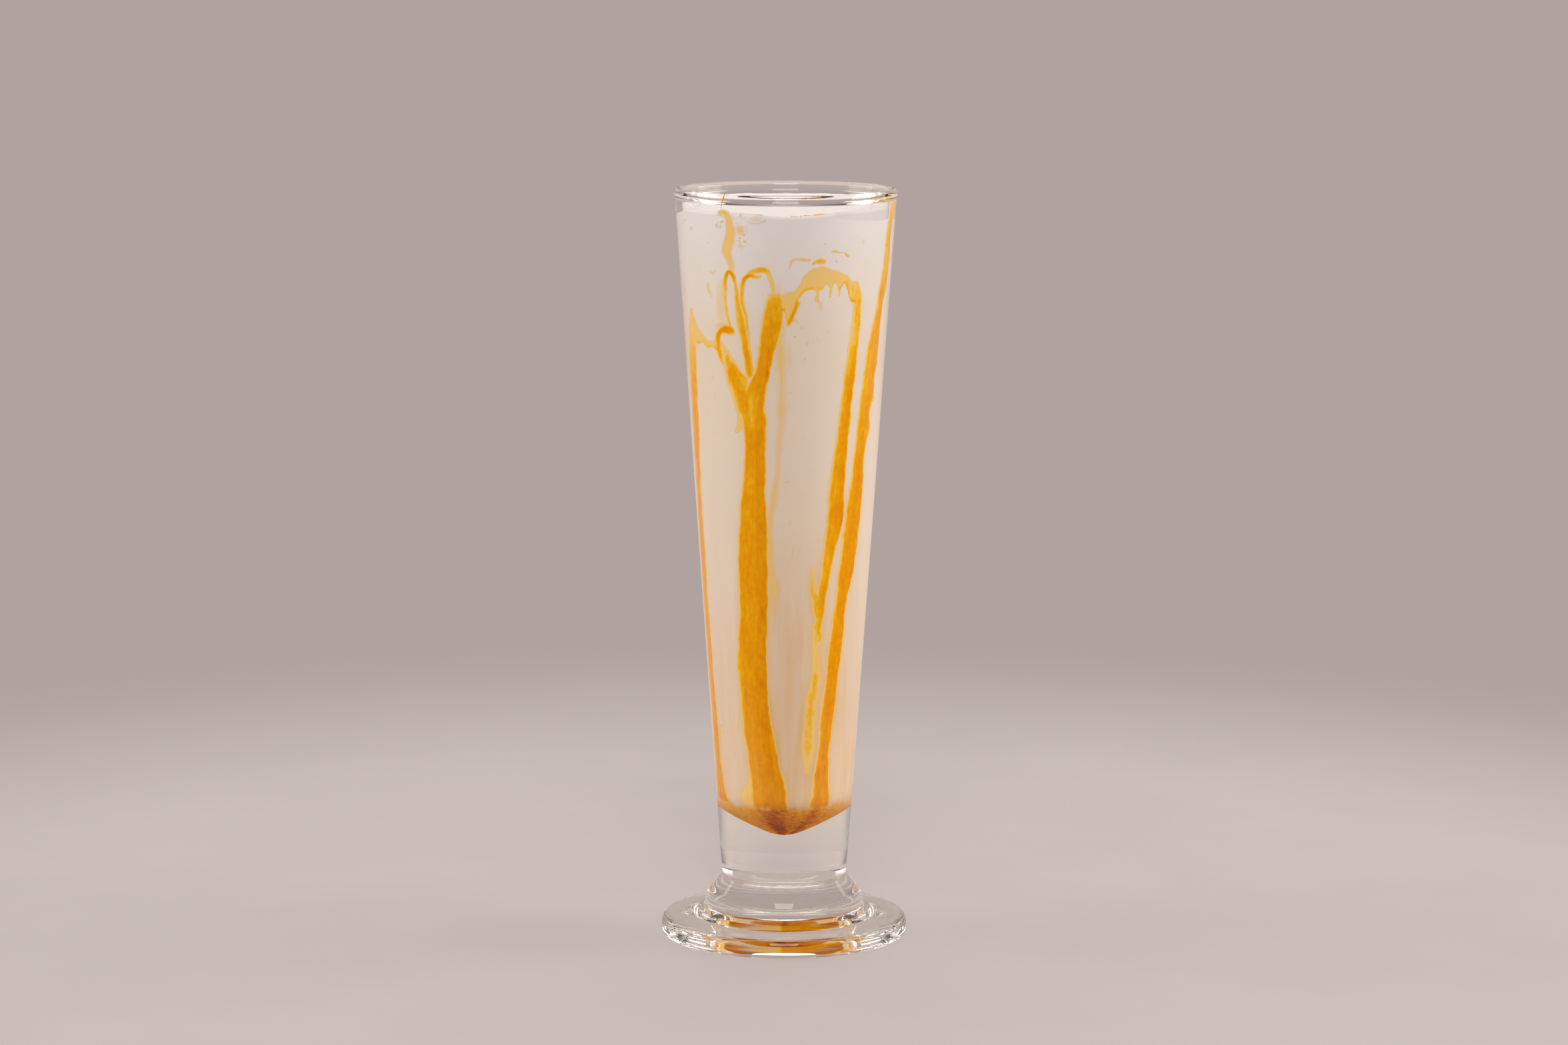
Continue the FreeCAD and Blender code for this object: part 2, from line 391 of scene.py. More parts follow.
class Nodes:
    """The node tree of one material or world, with one method that adds any node."""

    def __init__(self, owner: bpy.types.Material | bpy.types.World) -> None:
        """Empties the owner's tree.

        Args:
            owner: A material or a world.
        """
        owner.use_nodes = True
        self.tree = owner.node_tree
        self.tree.nodes.clear()

    def add(
        self, kind: str, settings: dict | None = None, inputs: dict | None = None, output: int | str = 0
    ) -> Value | None:
        """Adds a node: its settings first, then the values or links of its sockets.

        Args:
            kind: Node type.
            settings: Node properties; "stops" holds a ramp's (position, colour) pairs.
            inputs: Socket name or number to a number, a colour or a Value.
            output: Which output to return.

        Returns:
            The chosen output, or None from a node that has none.
        """
        node = self.tree.nodes.new(kind)
        for key, setting in (settings or {}).items():
            if key == "stops":
                self._set_stops(node.color_ramp, setting)
            else:
                setattr(node, key, setting)
        for key, value in (inputs or {}).items():
            if isinstance(value, Value):
                self.tree.links.new(value.socket, node.inputs[key])
            else:
                node.inputs[key].default_value = value
        return Value(self, node.outputs[output]) if len(node.outputs) else None

    @staticmethod
    def _set_stops(ramp: bpy.types.ColorRamp, stops: list[tuple[float, tuple]]) -> None:
        """Gives a colour ramp its stops.

        Args:
            ramp: The ramp.
            stops: Position and colour of each stop.
        """
        while len(ramp.elements) < len(stops):
            ramp.elements.new(1.0)
        for element, (position, colour) in zip(ramp.elements, stops):
            element.position, element.color = position, colour

    def mixed(self, share: Value | float, first: tuple | Value, second: tuple | Value) -> Value:
        """A colour that goes from first to second with share."""
        return self.add("ShaderNodeMix", {"data_type": "RGBA"}, {0: share, 6: first, 7: second}, 2)

    def noise(self, scale: float, detail: float, stretch: tuple[float, float, float] = (1, 1, 1)) -> Value:
        """Noise over the piece's own coordinates, in millimetres.

        Args:
            scale: Cells for each millimetre.
            detail: Finer layers.
            stretch: Scale of each axis.

        Returns:
            The noise, from 0 to 1 about 0.5.
        """
        place = self.add("ShaderNodeTexCoord", output="Object")
        sizes = [s * scale / MM for s in stretch]
        sized = self.add("ShaderNodeMapping", inputs={"Vector": place, "Scale": sizes})
        return self.add("ShaderNodeTexNoise", inputs={"Vector": sized, "Scale": 1.0, "Detail": detail})

    def cloud(
        self, strength: float, scale: float, detail: float, stretch: tuple[float, float, float] = (1, 1, 1)
    ) -> Value:
        """Noise about zero, up to half its strength either way; the rest is as for noise."""
        return (self.noise(scale, detail, stretch) - 0.5) * strength

    def bump(
        self, strength: float, height: float, scale: float, stretch: tuple[float, float, float] = (1, 1, 1)
    ) -> Value:
        """Normals of a fine relief of noise, with its height in metres.

        Args:
            strength: How much the normals turn.
            height: Height of the relief, in metres.
            scale: Cells for each millimetre.
            stretch: Scale of each axis.

        Returns:
            The normals.
        """
        relief = self.noise(scale, 2.0, stretch)
        inputs = {"Strength": strength, "Distance": height, "Height": relief}
        return self.add("ShaderNodeBump", inputs=inputs)

    def ray(self, kind: str) -> Value:
        """1 for rays of a kind, 0 for others."""
        return self.add("ShaderNodeLightPath", output=f"Is {kind} Ray")

    def blended(self, share: Value, first: Value, second: Value) -> Value:
        """A surface that goes from first to second with share."""
        return self.add("ShaderNodeMixShader", inputs={0: share, 1: first, 2: second})

    def attribute(self, name: str) -> Value:
        """The number that the mesh carries under a name."""
        return self.add("ShaderNodeAttribute", {"attribute_name": name}, output="Fac")

    def finish(self, surface: Value) -> None:
        """Links the surface shader to the output."""
        self.add("ShaderNodeOutputMaterial", inputs={"Surface": surface})


def new_material(name: str) -> tuple[bpy.types.Material, Nodes]:
    """Makes an empty material.

    Args:
        name: Its name.

    Returns:
        The material and its nodes.
    """
    material = bpy.data.materials.new(name)
    return material, Nodes(material)


@dataclass(frozen=True)
class ClearGlass:
    """Fire-polished soda-lime glass, faintly wavy from the press.

    Rays from lamps and rays scattered by the drink pass straight through, so that the drink is lit. Its
    colour is a little warm everywhere and warmer in the foot: painted caustic light, standing in for the
    golden glow that the caramel throws into the thick glass.
    """

    index: float = 1.5
    waviness: float = 0.012
    wave_height: float = 0.001
    wave_scale: float = 0.16
    wave_stretch: tuple[float, float, float] = (1, 1, 0.35)
    clear: tuple = (0.995, 0.982, 0.965, 1.0)
    caustic_tint: tuple = (0.99, 0.955, 0.88, 1.0)
    passing: tuple = (0.97, 0.97, 0.97, 1.0)

    def material(self) -> bpy.types.Material:
        """Builds the material.

        Returns:
            The new material.
        """
        material, nodes = new_material("clear glass")
        inputs = {
            # painted caustic light: the glass is tinted warmer towards the foot
            "Base Color": nodes.mixed(nodes.attribute("caustic_share"), self.clear, self.caustic_tint),
            "Roughness": 0.0,
            "IOR": self.index,
            "Transmission Weight": 1.0,
            "Normal": nodes.bump(self.waviness, self.wave_height, self.wave_scale, self.wave_stretch),
        }
        glass = nodes.add("ShaderNodeBsdfPrincipled", inputs=inputs)
        open_way = nodes.add("ShaderNodeBsdfTransparent", inputs={"Color": self.passing})
        unbent = nodes.ray("Shadow").larger(nodes.ray("Diffuse"))
        nodes.finish(nodes.blended(unbent, glass, open_way))
        return material


@dataclass(frozen=True)
class DrinkColours:
    """Colours of milk and caramel, and how they melt into each other.

    Attributes on the mesh steer them: age goes from the pale, cool top to cream lower down, stain says how
    far syrup has spread into the milk and carries painted shade over the middle of the shown side, depth
    how deep the syrup stands, cover where the pool hides both.
    """

    pale: tuple = linear(226, 218, 213)
    cream: tuple = linear(226, 208, 188)
    peach: tuple = linear(222, 176, 122)
    syrup: tuple = (
        (0.0, linear(224, 188, 142)),
        (0.2, linear(233, 191, 118)),
        (0.36, linear(239, 196, 114)),
        (0.52, linear(239, 178, 28)),
        (0.66, linear(234, 160, 5)),
        (0.84, linear(225, 138, 3)),
        (1.0, linear(206, 114, 4)),
    )
    pool: tuple = (
        (0.0, linear(240, 180, 98)),
        (0.3, linear(240, 163, 48)),
        (0.55, linear(225, 132, 22)),
        (0.8, linear(190, 96, 10)),
        (1.0, linear(150, 66, 6)),
    )

    def milk_colour(self, nodes: Nodes) -> Value:
        """Colour of the milk at a place.

        Args:
            nodes: The material's nodes.

        Returns:
            The colour.
        """
        cloud = nodes.cloud(0.35, scale=0.12, detail=3.0)
        age = (nodes.attribute("age") + cloud).risen(0.0, 1.0)
        colour = nodes.mixed(age, self.pale, self.cream)
        # the stain attribute also holds painted shade over the middle of the shown side
        stain_and_shade = nodes.attribute("stain_and_shade")
        haze = nodes.cloud(0.9, scale=0.45, detail=2.0, stretch=(1, 1, 0.07))
        stain_and_shade = (stain_and_shade + stain_and_shade * haze + cloud * 0.25).risen(0.0, 1.0)
        return nodes.mixed(stain_and_shade, colour, self.peach)

    def syrup_colour(self, nodes: Nodes) -> Value:
        """Colour of syrup over milk: straw where it is a film, then gold, and amber where it is deep.

        Args:
            nodes: The material's nodes.

        Returns:
            The colour.
        """
        depth = nodes.attribute("depth")
        streaks = nodes.cloud(0.26, scale=1.6, detail=2.0, stretch=(1, 1, 0.06))
        mottle = nodes.cloud(0.3, scale=0.9, detail=4.0, stretch=(1, 1, 0.6))
        shade = depth + (streaks + mottle) * depth.risen(0.1, 0.5)
        syrup = nodes.add("ShaderNodeValToRGB", {"stops": self.syrup}, {0: shade})
        return nodes.mixed(depth.risen(0.02, 0.26), self.milk_colour(nodes), syrup)

    def pool_colour(self, nodes: Nodes) -> Value:
        """Colour of the frothy pool, which melts upwards into syrup and milk.

        Args:
            nodes: The material's nodes.

        Returns:
            The colour.
        """
        shade = nodes.attribute("shade") + nodes.cloud(0.95, scale=0.8, detail=4.0)
        pool = nodes.add("ShaderNodeValToRGB", {"stops": self.pool}, {0: shade})
        return nodes.mixed(nodes.attribute("cover").risen(0.0, 1.0), self.syrup_colour(nodes), pool)


class Liquid(Enum):
    """The three looks inside the glass; each value is a material name, a roughness and a specular level."""

    MILK = ("milkshake", 0.45, 0.12)
    SYRUP = ("caramel syrup", 0.4, 0.0)
    POOL = ("caramel pool", 0.4, 0.0)

    def material(self, colours: DrinkColours) -> bpy.types.Material:
        """Builds this look's material.

        Args:
            colours: Where its colour comes from.

        Returns:
            The new material.
        """
        name, roughness, specular = self.value
        material, nodes = new_material(name)
        recipe = {
            Liquid.MILK: colours.milk_colour,
            Liquid.SYRUP: colours.syrup_colour,
            Liquid.POOL: colours.pool_colour,
        }
        inputs = {
            "Base Color": recipe[self](nodes),
            "Roughness": roughness,
            "Specular IOR Level": specular,
            "Normal": nodes.bump(strength=0.05, height=0.0002, scale=3.0),
        }
        nodes.finish(nodes.add("ShaderNodeBsdfPrincipled", inputs=inputs))
        return material


# ---- the glass --------------------------------------------------------------------------------


@dataclass(frozen=True)
class Glass:
    """The footed glass. Its height and foot come from the frame; the rest are its own sizes, in mm."""

    height: float
    foot_radius: float
    cone_at_table: float = 18.74
    cone_flare: float = 0.0688
    foot_edge: float = 5.9
    foot_top_round: float = 2.5
    foot_bottom_round: float = 0.9
    foot_slope: float = 0.5
    rest_ring: float = 33.0
    kick: float = 5.2
    step_radius: float = 29.3
    step_height: float = 8.1
    step_slant: float = 1.5
    step_round: float = 1.0
    dome_radius: float = 25.1
    dome_base: float = 9.0
    dome_flare: float = 0.3
    dome_base_round: float = 1.2
    shoulder_radius: float = 24.9
    dome_shoulder: float = 13.2
    shoulder_round: float = 5.5
    neck_radius: float = 19.95
    neck_height: float = 19.3
    neck_top: float = 20.7
    neck_base_round: float = 1.4
    neck_round: float = 3.0
    cone_base: float = 24.7
    bead_height: float = 3.2
    bead_thickness: float = 3.1
    bead_proud: float = 0.3
    bead_slope: float = 0.5
    bead_roundness: float = 0.49
    bead_joint_round: float = 0.5
    bead_side_round: float = 0.6
    bead_inside_rise: float = 1.5
    bead_inside_round: float = 0.9
    bore_joint: float = 0.3
    bore_joint_round: float = 1.2
    rim_wall: float = 2.0
    well_height: float = 33.5
    well_slope: float = math.radians(31.0)
    well_point_round: float = 7.0
    well_side_round: float = 9.0
    bore_base_height: float = 43.0
    bore_base_radius: float = 17.3
    # heights over which the foot's painted caustic warmth fades out upwards
    caustic_below: tuple[float, float] = (6.0, 20.0)
    steps: int = 288
    point_steps: int = 8
    underside_steps: int = 12

    @property
    def bead_base(self) -> float:
        """Height of the lower edge of the rim's bead."""
        return self.height - self.bead_height

    def wall_radius(self, height: float | np.ndarray) -> float | np.ndarray:
        """Outer radius of the conical wall at a height."""
        return self.cone_at_table + self.cone_flare * height

    def bore_radius(self, height: float | np.ndarray) -> float | np.ndarray:
        """Inner radius of the wall at a height: a straight line from the bore's base to the bead.

        Args:
            height: Heights above the table.

        Returns:
            The radius at each.
        """
        top = self.wall_radius(self.bead_base) - self.rim_wall
        share = (height - self.bore_base_height) / (self.bead_base - self.bore_base_height)
        return self.bore_base_radius + share * (top - self.bore_base_radius)

    def bowl(self) -> np.ndarray:
        """Inside of the bowl, from its point on the axis up to the straight bore.

        The point is an arc of the stated rounding, the bottom a line at the stated slope, and the side
        an arc tangent to that line and to the bore.

        Returns:
            Radius and height of each point.
        """
        turn = np.linspace(0, self.well_slope, self.point_steps)
        rise = self.well_height + self.well_point_round * (1 - np.cos(turn))
        point = np.stack([self.well_point_round * np.sin(turn), rise], -1)
        slope = math.tan(self.well_slope)
        tip = self.well_height - self.well_point_round * (1 / math.cos(self.well_slope) - 1)
        side = self.bore_radius(self.well_height + slope * self.bore_base_radius)
        top = self.bore_base_height + self.well_side_round
        corners = [
            (*point[-1], 0),
            (side, tip + slope * side, self.well_side_round),
            (self.bore_radius(top), top, 0),
        ]
        return np.vstack([point[:-1], rounded_outline(corners, turn_step=4.0)])

    def bowl_radius(self, height: np.ndarray) -> np.ndarray:
        """Inner radius at any height above the bowl's point.

        Args:
            height: Heights above the table.

        Returns:
            The radius at each.
        """
        outline = self.bowl()
        low = np.interp(height, outline[:, 1], outline[:, 0])
        return np.where(height > outline[-1, 1], self.bore_radius(height), low)

    def section(self) -> np.ndarray:
        """The whole half section: underside, foot, dome, neck, wall, bead, bore and bowl.

        Each corner is a radius, a height and a rounding.

        Returns:
            Radius and height of each point.
        """
        outer_bead = self.wall_radius(self.bead_base) + self.bead_proud
        inner_bead = outer_bead - self.bead_thickness
        bead_round = self.bead_roundness * self.bead_thickness
        bore_top = self.bead_base + self.bore_joint
        reach = np.linspace(0, self.rest_ring, self.underside_steps)
        sphere = (self.rest_ring ** 2 + self.kick ** 2) / (2 * self.kick)
        underside = np.stack([reach, self.kick - sphere + np.sqrt(sphere ** 2 - reach ** 2)], -1)
        top = self.bore_base_height + self.well_side_round
        corners = [
            (self.rest_ring, 0, 0),
            (self.foot_radius, 0, self.foot_bottom_round),
            (self.foot_radius, self.foot_edge, self.foot_top_round),
            (self.step_radius, self.foot_edge + self.foot_slope, self.step_round),
            (self.step_radius - self.step_slant, self.step_height, self.step_round),
            (self.dome_radius + self.dome_flare, self.dome_base, self.dome_base_round),
            (self.shoulder_radius, self.dome_shoulder, self.shoulder_round),
            (self.neck_radius, self.neck_height, self.neck_base_round),
            (self.neck_radius, self.neck_top, self.neck_round),
            (self.wall_radius(self.cone_base), self.cone_base, self.neck_round),
            (self.wall_radius(self.bead_base), self.bead_base, self.bead_joint_round),
            (outer_bead, self.bead_base + self.bead_slope, self.bead_side_round),
            (outer_bead, self.height, bead_round),
            (inner_bead, self.height, bead_round),
            (inner_bead, self.bead_base + self.bead_inside_rise, self.bead_inside_round),
            (self.bore_radius(bore_top), bore_top, self.bore_joint_round),
            (self.bore_radius(top), top, 0),
        ]
        return np.vstack([underside[:-1], rounded_outline(corners), self.bowl()[::-1][1:]])

    def build(self) -> bpy.types.Object:
        """Turns the section into the glass.

        Returns:
            The new object.
        """
        section = self.section()
        # share of the painted caustic warmth: full in the foot, none above it
        caustic_share = 1 - ease(*self.caustic_below, section[1:-1, 1:])
        attributes = {"caustic_share": np.repeat(caustic_share, self.steps, axis=1)}
        piece = turned("pilsner_glass", section, self.steps, attributes)
        piece.data.materials.append(ClearGlass().material())
        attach(piece, "root")
        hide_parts("glass")
        return piece


# ---- syrup on the wall ------------------------------------------------------------------------


@dataclass(frozen=True)
class Wall:
    """A window of the inner wall, laid flat as a grid of azimuths and heights."""

    glass: Glass
    azimuths: np.ndarray
    heights: np.ndarray
    drift: tuple[np.ndarray, np.ndarray] | None = None

    DRIFT_RISE = 3.2
    TURN_PER_MM = 4.0

    def grid(self) -> tuple[np.ndarray, np.ndarray]:
        """Azimuth and height of every grid point, heights running down the rows."""
        return np.meshgrid(self.azimuths, self.heights)

    def places(self) -> tuple[np.ndarray, np.ndarray]:
        """Azimuth and height at which marks are read: the grid, or the grid after its drift."""
        return self.drift or self.grid()

    def drifted(self, reach: float = 0.42) -> "Wall":
        """The same wall with every place moved a little by soft relief, so that no edge runs straight.

        Args:
            reach: Furthest move, in millimetres.

        Returns:
            The wall with its drift.
        """
        azimuth, height = self.grid()
        turn, rise = azimuth / RELIEF_TURN, height / self.DRIFT_RISE
        aside = reach * Ripple(seed=5).layered(turn, rise, 4)
        upward = reach * Ripple(seed=6).layered(turn, rise, 4)
        moved = (azimuth + np.degrees(aside / self.glass.bore_radius(height)), height + upward)
        return Wall(self.glass, self.azimuths, self.heights, moved)

    def part(self, rows: slice, columns: slice) -> "Wall":
        """A smaller window of this wall, with the same drift."""
        drift = (self.drift[0][rows, columns], self.drift[1][rows, columns]) if self.drift else None
        return Wall(self.glass, self.azimuths[columns], self.heights[rows], drift)

    def run(self, azimuth: np.ndarray, height: np.ndarray) -> np.ndarray:
        """Distance round the wall from azimuth 0, in millimetres: the angle times the radius there."""
        return np.radians(azimuth) * self.glass.bowl_radius(height)

    def window(self, knots: np.ndarray, margin: float) -> tuple[slice, slice]:
        """Rows and columns that a mark can touch.

        Args:
            knots: Azimuth and height of the mark's knots, one row each.
            margin: Millimetres to add on each side.

        Returns:
            The slice of rows and the slice of columns.
        """
        (west, low), (east, high) = knots.min(0), knots.max(0)
        turn = self.TURN_PER_MM * margin
        rows = np.flatnonzero((self.heights > low - margin) & (self.heights < high + margin))
        columns = np.flatnonzero((self.azimuths > west - turn) & (self.azimuths < east + turn))
        if not len(rows) or not len(columns):
            return slice(0, 0), slice(0, 0)
        return slice(rows[0], rows[-1] + 1), slice(columns[0], columns[-1] + 1)


@dataclass(frozen=True)
class Run:
    """Syrup that slides down the wall in a band.

    Each row is a height, the azimuths of the left and right edge there, and the depth. Between rows the
    edges and the depth follow smooth lines. Depth rises from each edge over its softness, and leans to
    the right by the stated share.
    """

    rows: tuple[tuple[float, float, float, float], ...]
    soft_left: float = 1.2
    soft_right: float = 0.6
    lean: float = 0.0
    seed: int = 1
    grown: float = 0.5

    WOBBLE = 0.22
    LEFT_WAVE, RIGHT_WAVE = 9, 7
    STRANDS = 0.12
    RIGHT_ROW = 9
    STRAND_COUNT, STRAND_LENGTH = 7, 38
    STRAND_COLUMN, STRAND_ROW = 40, 5
    NARROWEST = 0.1
    END = 1.5

    def knots(self) -> np.ndarray:
        """Azimuth and height of both edges' knots."""
        rows = np.array(self.rows)
        return np.vstack([rows[:, [1, 0]], rows[:, [2, 0]]])

    def depth(self, wall: Wall) -> np.ndarray:
        """Depth of this band over the wall.

        Args:
            wall: The window to work it out on.

        Returns:
            Depth at every point of the grid.
        """
        rows = np.array(sorted(self.rows))
        azimuth, height = wall.places()
        ripple = Ripple(self.seed)
        drift_left = self.WOBBLE * ripple.layered(height / self.LEFT_WAVE, height * 0)
        drift_right = self.WOBBLE * ripple.layered(height / self.RIGHT_WAVE, height * 0 + self.RIGHT_ROW)
        left = wall.run(curve(height, rows[:, 0], rows[:, 1]), height) + drift_left - self.grown
        right = wall.run(curve(height, rows[:, 0], rows[:, 2]), height) + drift_right + self.grown
        across = wall.run(azimuth, height)
        share = np.clip((across - left) / np.maximum(right - left, self.NARROWEST), 0, 1)
        cover = ease(0, self.soft_left, across - left) * ease(0, self.soft_right, right - across)
        low, high = rows[0, 0], rows[-1, 0]
        ends = ease(low - 0.01, low + self.END, height) * (1 - ease(high - self.END, high, height))
        level = curve(height, rows[:, 0], rows[:, 3])
        x = share * self.STRAND_COUNT + self.STRAND_COLUMN
        y = height / self.STRAND_LENGTH + self.STRAND_ROW
        strands = 1 + self.STRANDS * ripple.layered(x, y)
        return level * cover * ends * (1 + self.lean * (share - 0.5)) * strands


@dataclass(frozen=True)
class Stroke:
    """A thread of syrup along a line: each knot is an azimuth, a height, a width in mm and a depth."""

    line: tuple[tuple[float, float, float, float], ...]
    edge: float = 0.6

    STEP, FEWEST = 0.4, 4
    HALF = 0.62

    def knots(self) -> np.ndarray:
        """Azimuth and height of the line's knots."""
        return np.array(self.line, float)[:, :2]

    def depth(self, wall: Wall) -> np.ndarray:
        """Depth of this thread over the wall: it falls off with the distance from the line.

        Args:
            wall: The window to work it out on.

        Returns:
            Depth at every point of the grid.
        """
        knots = np.array(self.line, float)
        place = np.stack([wall.run(knots[:, 0], knots[:, 1]), knots[:, 1]], -1)
        steps = np.concatenate([[0], np.cumsum(np.linalg.norm(np.diff(place, axis=0), axis=1))])
        along = np.linspace(0, steps[-1], max(self.FEWEST, int(steps[-1] / self.STEP)))
        path = np.stack([curve(along, steps, v) for v in (*place.T, *knots[:, 2:].T)], -1)
        azimuth, height = wall.places()
        across = wall.run(azimuth, height)
        total = np.zeros_like(across)
        spot = np.stack([np.degrees(path[:, 0] / wall.glass.bowl_radius(path[:, 1])), path[:, 1]], -1)
        for i, (start, end) in enumerate(zip(path, path[1:])):
            window = wall.window(spot[i : i + 2], max(start[2], end[2]))
            edge = end[:2] - start[:2]
            x, z = across[window] - start[0], height[window] - start[1]
            share = np.clip((x * edge[0] + z * edge[1]) / max(edge @ edge, 1e-9), 0, 1)
            gap = np.hypot(x - share * edge[0], z - share * edge[1])
            half = (start[2] + (end[2] - start[2]) * share) * self.HALF
            level = start[3] + (end[3] - start[3]) * share
            fall = 1 - ease(1 - self.edge, 1 + self.edge, gap / half)
            total[window] = np.maximum(total[window], level * fall)
        return total


@dataclass(frozen=True)
class Veil:
    """A thin film between two edges that run round the wall.

    Each column is an azimuth, the heights of its top and bottom edge, and the depth. The bottom edge
    carries a hem that is deeper than the rest.
    """

    columns: tuple[tuple[float, float, float, float], ...]
    soft_top: float = 1.6
    soft_bottom: float = 0.5
    hem: float = 0.25
    seed: int = 3

    HEM_RISE = 0.7
    END = 2.5
    CLOUD = 0.18
    CLOUD_TURN, CLOUD_RISE = 6, 5

    def knots(self) -> np.ndarray:
        """Azimuth and height of both edges' knots."""
        columns = np.array(self.columns)
        return np.vstack([columns[:, :2], columns[:, [0, 2]]])

    def depth(self, wall: Wall) -> np.ndarray:
        """Depth of this film over the wall.

        Args:
            wall: The window to work it out on.

        Returns:
            Depth at every point of the grid.
        """
        columns = np.array(sorted(self.columns))
        azimuth, height = wall.places()
        top = curve(azimuth, columns[:, 0], columns[:, 1])
        bottom = curve(azimuth, columns[:, 0], columns[:, 2])
        level = curve(azimuth, columns[:, 0], columns[:, 3])
        cover = ease(0, self.soft_top, top - height) * ease(0, self.soft_bottom, height - bottom)
        west, east = columns[0, 0], columns[-1, 0]
        sides = ease(west, west + self.END, azimuth) * (1 - ease(east - self.END, east, azimuth))
        hem = self.hem * np.exp(-(((height - bottom - self.HEM_RISE) / self.HEM_RISE) ** 2))
        x, y = azimuth / self.CLOUD_TURN, height / self.CLOUD_RISE
        cloud = 1 + self.CLOUD * Ripple(self.seed).layered(x, y)
        return (level * cloud + hem) * cover * sides


@dataclass(frozen=True)
class Dab:
    """A soft spot of syrup: azimuth, height, width and tallness in millimetres, and depth."""

    azimuth: float
    height: float
    width: float
    tallness: float
    deepest: float

    REACH = 2.5
    FALL, SHARPNESS = 1.4, 1.5

    def knots(self) -> np.ndarray:
        """Azimuth and height of its corners.

        Returns:
            Two rows, one for each of two opposite corners.
        """
        reach = np.array([self.REACH * self.width, self.tallness])
        middle = np.array([self.azimuth, self.height])
        return np.array([middle - reach, middle + reach])

    def depth(self, wall: Wall) -> np.ndarray:
        """Depth of this spot over the wall: it falls off as a bell.

        Args:
            wall: The window to work it out on.

        Returns:
            Depth at every point of the grid.
        """
        azimuth, height = wall.places()
        middle = wall.run(np.array(self.azimuth), np.array(self.height))
        x = (wall.run(azimuth, height) - middle) / (self.width / 2)
        z = (height - self.height) / (self.tallness / 2)
        return self.deepest * np.exp(-self.FALL * (x * x + z * z) ** self.SHARPNESS)


Mark = Run | Stroke | Veil | Dab


MAIN_RUN: list[Mark] = [
    Run((
        (210.5, -9, -3.5, 0.35), (206, -12, -1.6, 0.56), (200, -14, -2.2, 0.64), (195, -15.6, -4.6, 0.68),
        (190, -16, -7.5, 0.74), (185, -19, -9.8, 0.78), (180, -24, -11.5, 0.72),
        (175, -28.5, -12.5, 0.66), (165, -27.5, -12.5, 0.68), (155, -28.5, -13.5, 0.7),
        (145, -31, -13.5, 0.7), (135, -34, -13, 0.7), (120, -36, -12.5, 0.72), (105, -37.5, -13.5, 0.74),
        (90, -41.5, -15, 0.74), (80, -40, -14, 0.76), (70, -38.5, -11, 0.78), (60, -35, -6, 0.8),
        (50, -33, 1.5, 0.8), (43, -33, 2.5, 0.85),
    ), soft_left=1.5, soft_right=0.9, lean=0.16, seed=11),
    Run((
        (196, -11, -5.2, 0.4), (190, -13, -7.8, 0.82), (184, -15, -10, 0.84), (176, -19, -12.8, 0.78),
        (160, -22, -13.2, 0.76), (140, -23, -13, 0.77), (115, -24, -12.8, 0.78), (95, -23, -14.6, 0.79),
        (75, -27, -14, 0.78), (60, -26, -12, 0.79), (43, -24, -8, 0.9),
    ), soft_left=2.2, soft_right=0.9, lean=0.1, seed=12),
    Veil((
        (-46, 50, 43, 0.3), (-40, 52, 43, 0.34), (-34, 58, 43, 0.4), (-30, 62, 43, 0.4),
    ), 4, 0.6, 0, 13),
    Veil((
        (-14, 70, 43, 0.5), (-9, 70, 43, 0.5), (-5, 60, 43, 0.46), (1, 55, 43, 0.42), (5, 52, 43, 0.2),
    ), 3, 0.6, 0, 14),
    Dab(-20, 76, 2.2, 3, 0.92), Dab(-19, 64.5, 2.4, 3.2, 0.9), Dab(-18, 107, 2.4, 7, 0.92),
    Dab(-23, 152, 2, 5, 0.86), Dab(-19, 85, 2.4, 5, 0.9), Dab(-5.5, 205, 2, 4, 0.82),
]

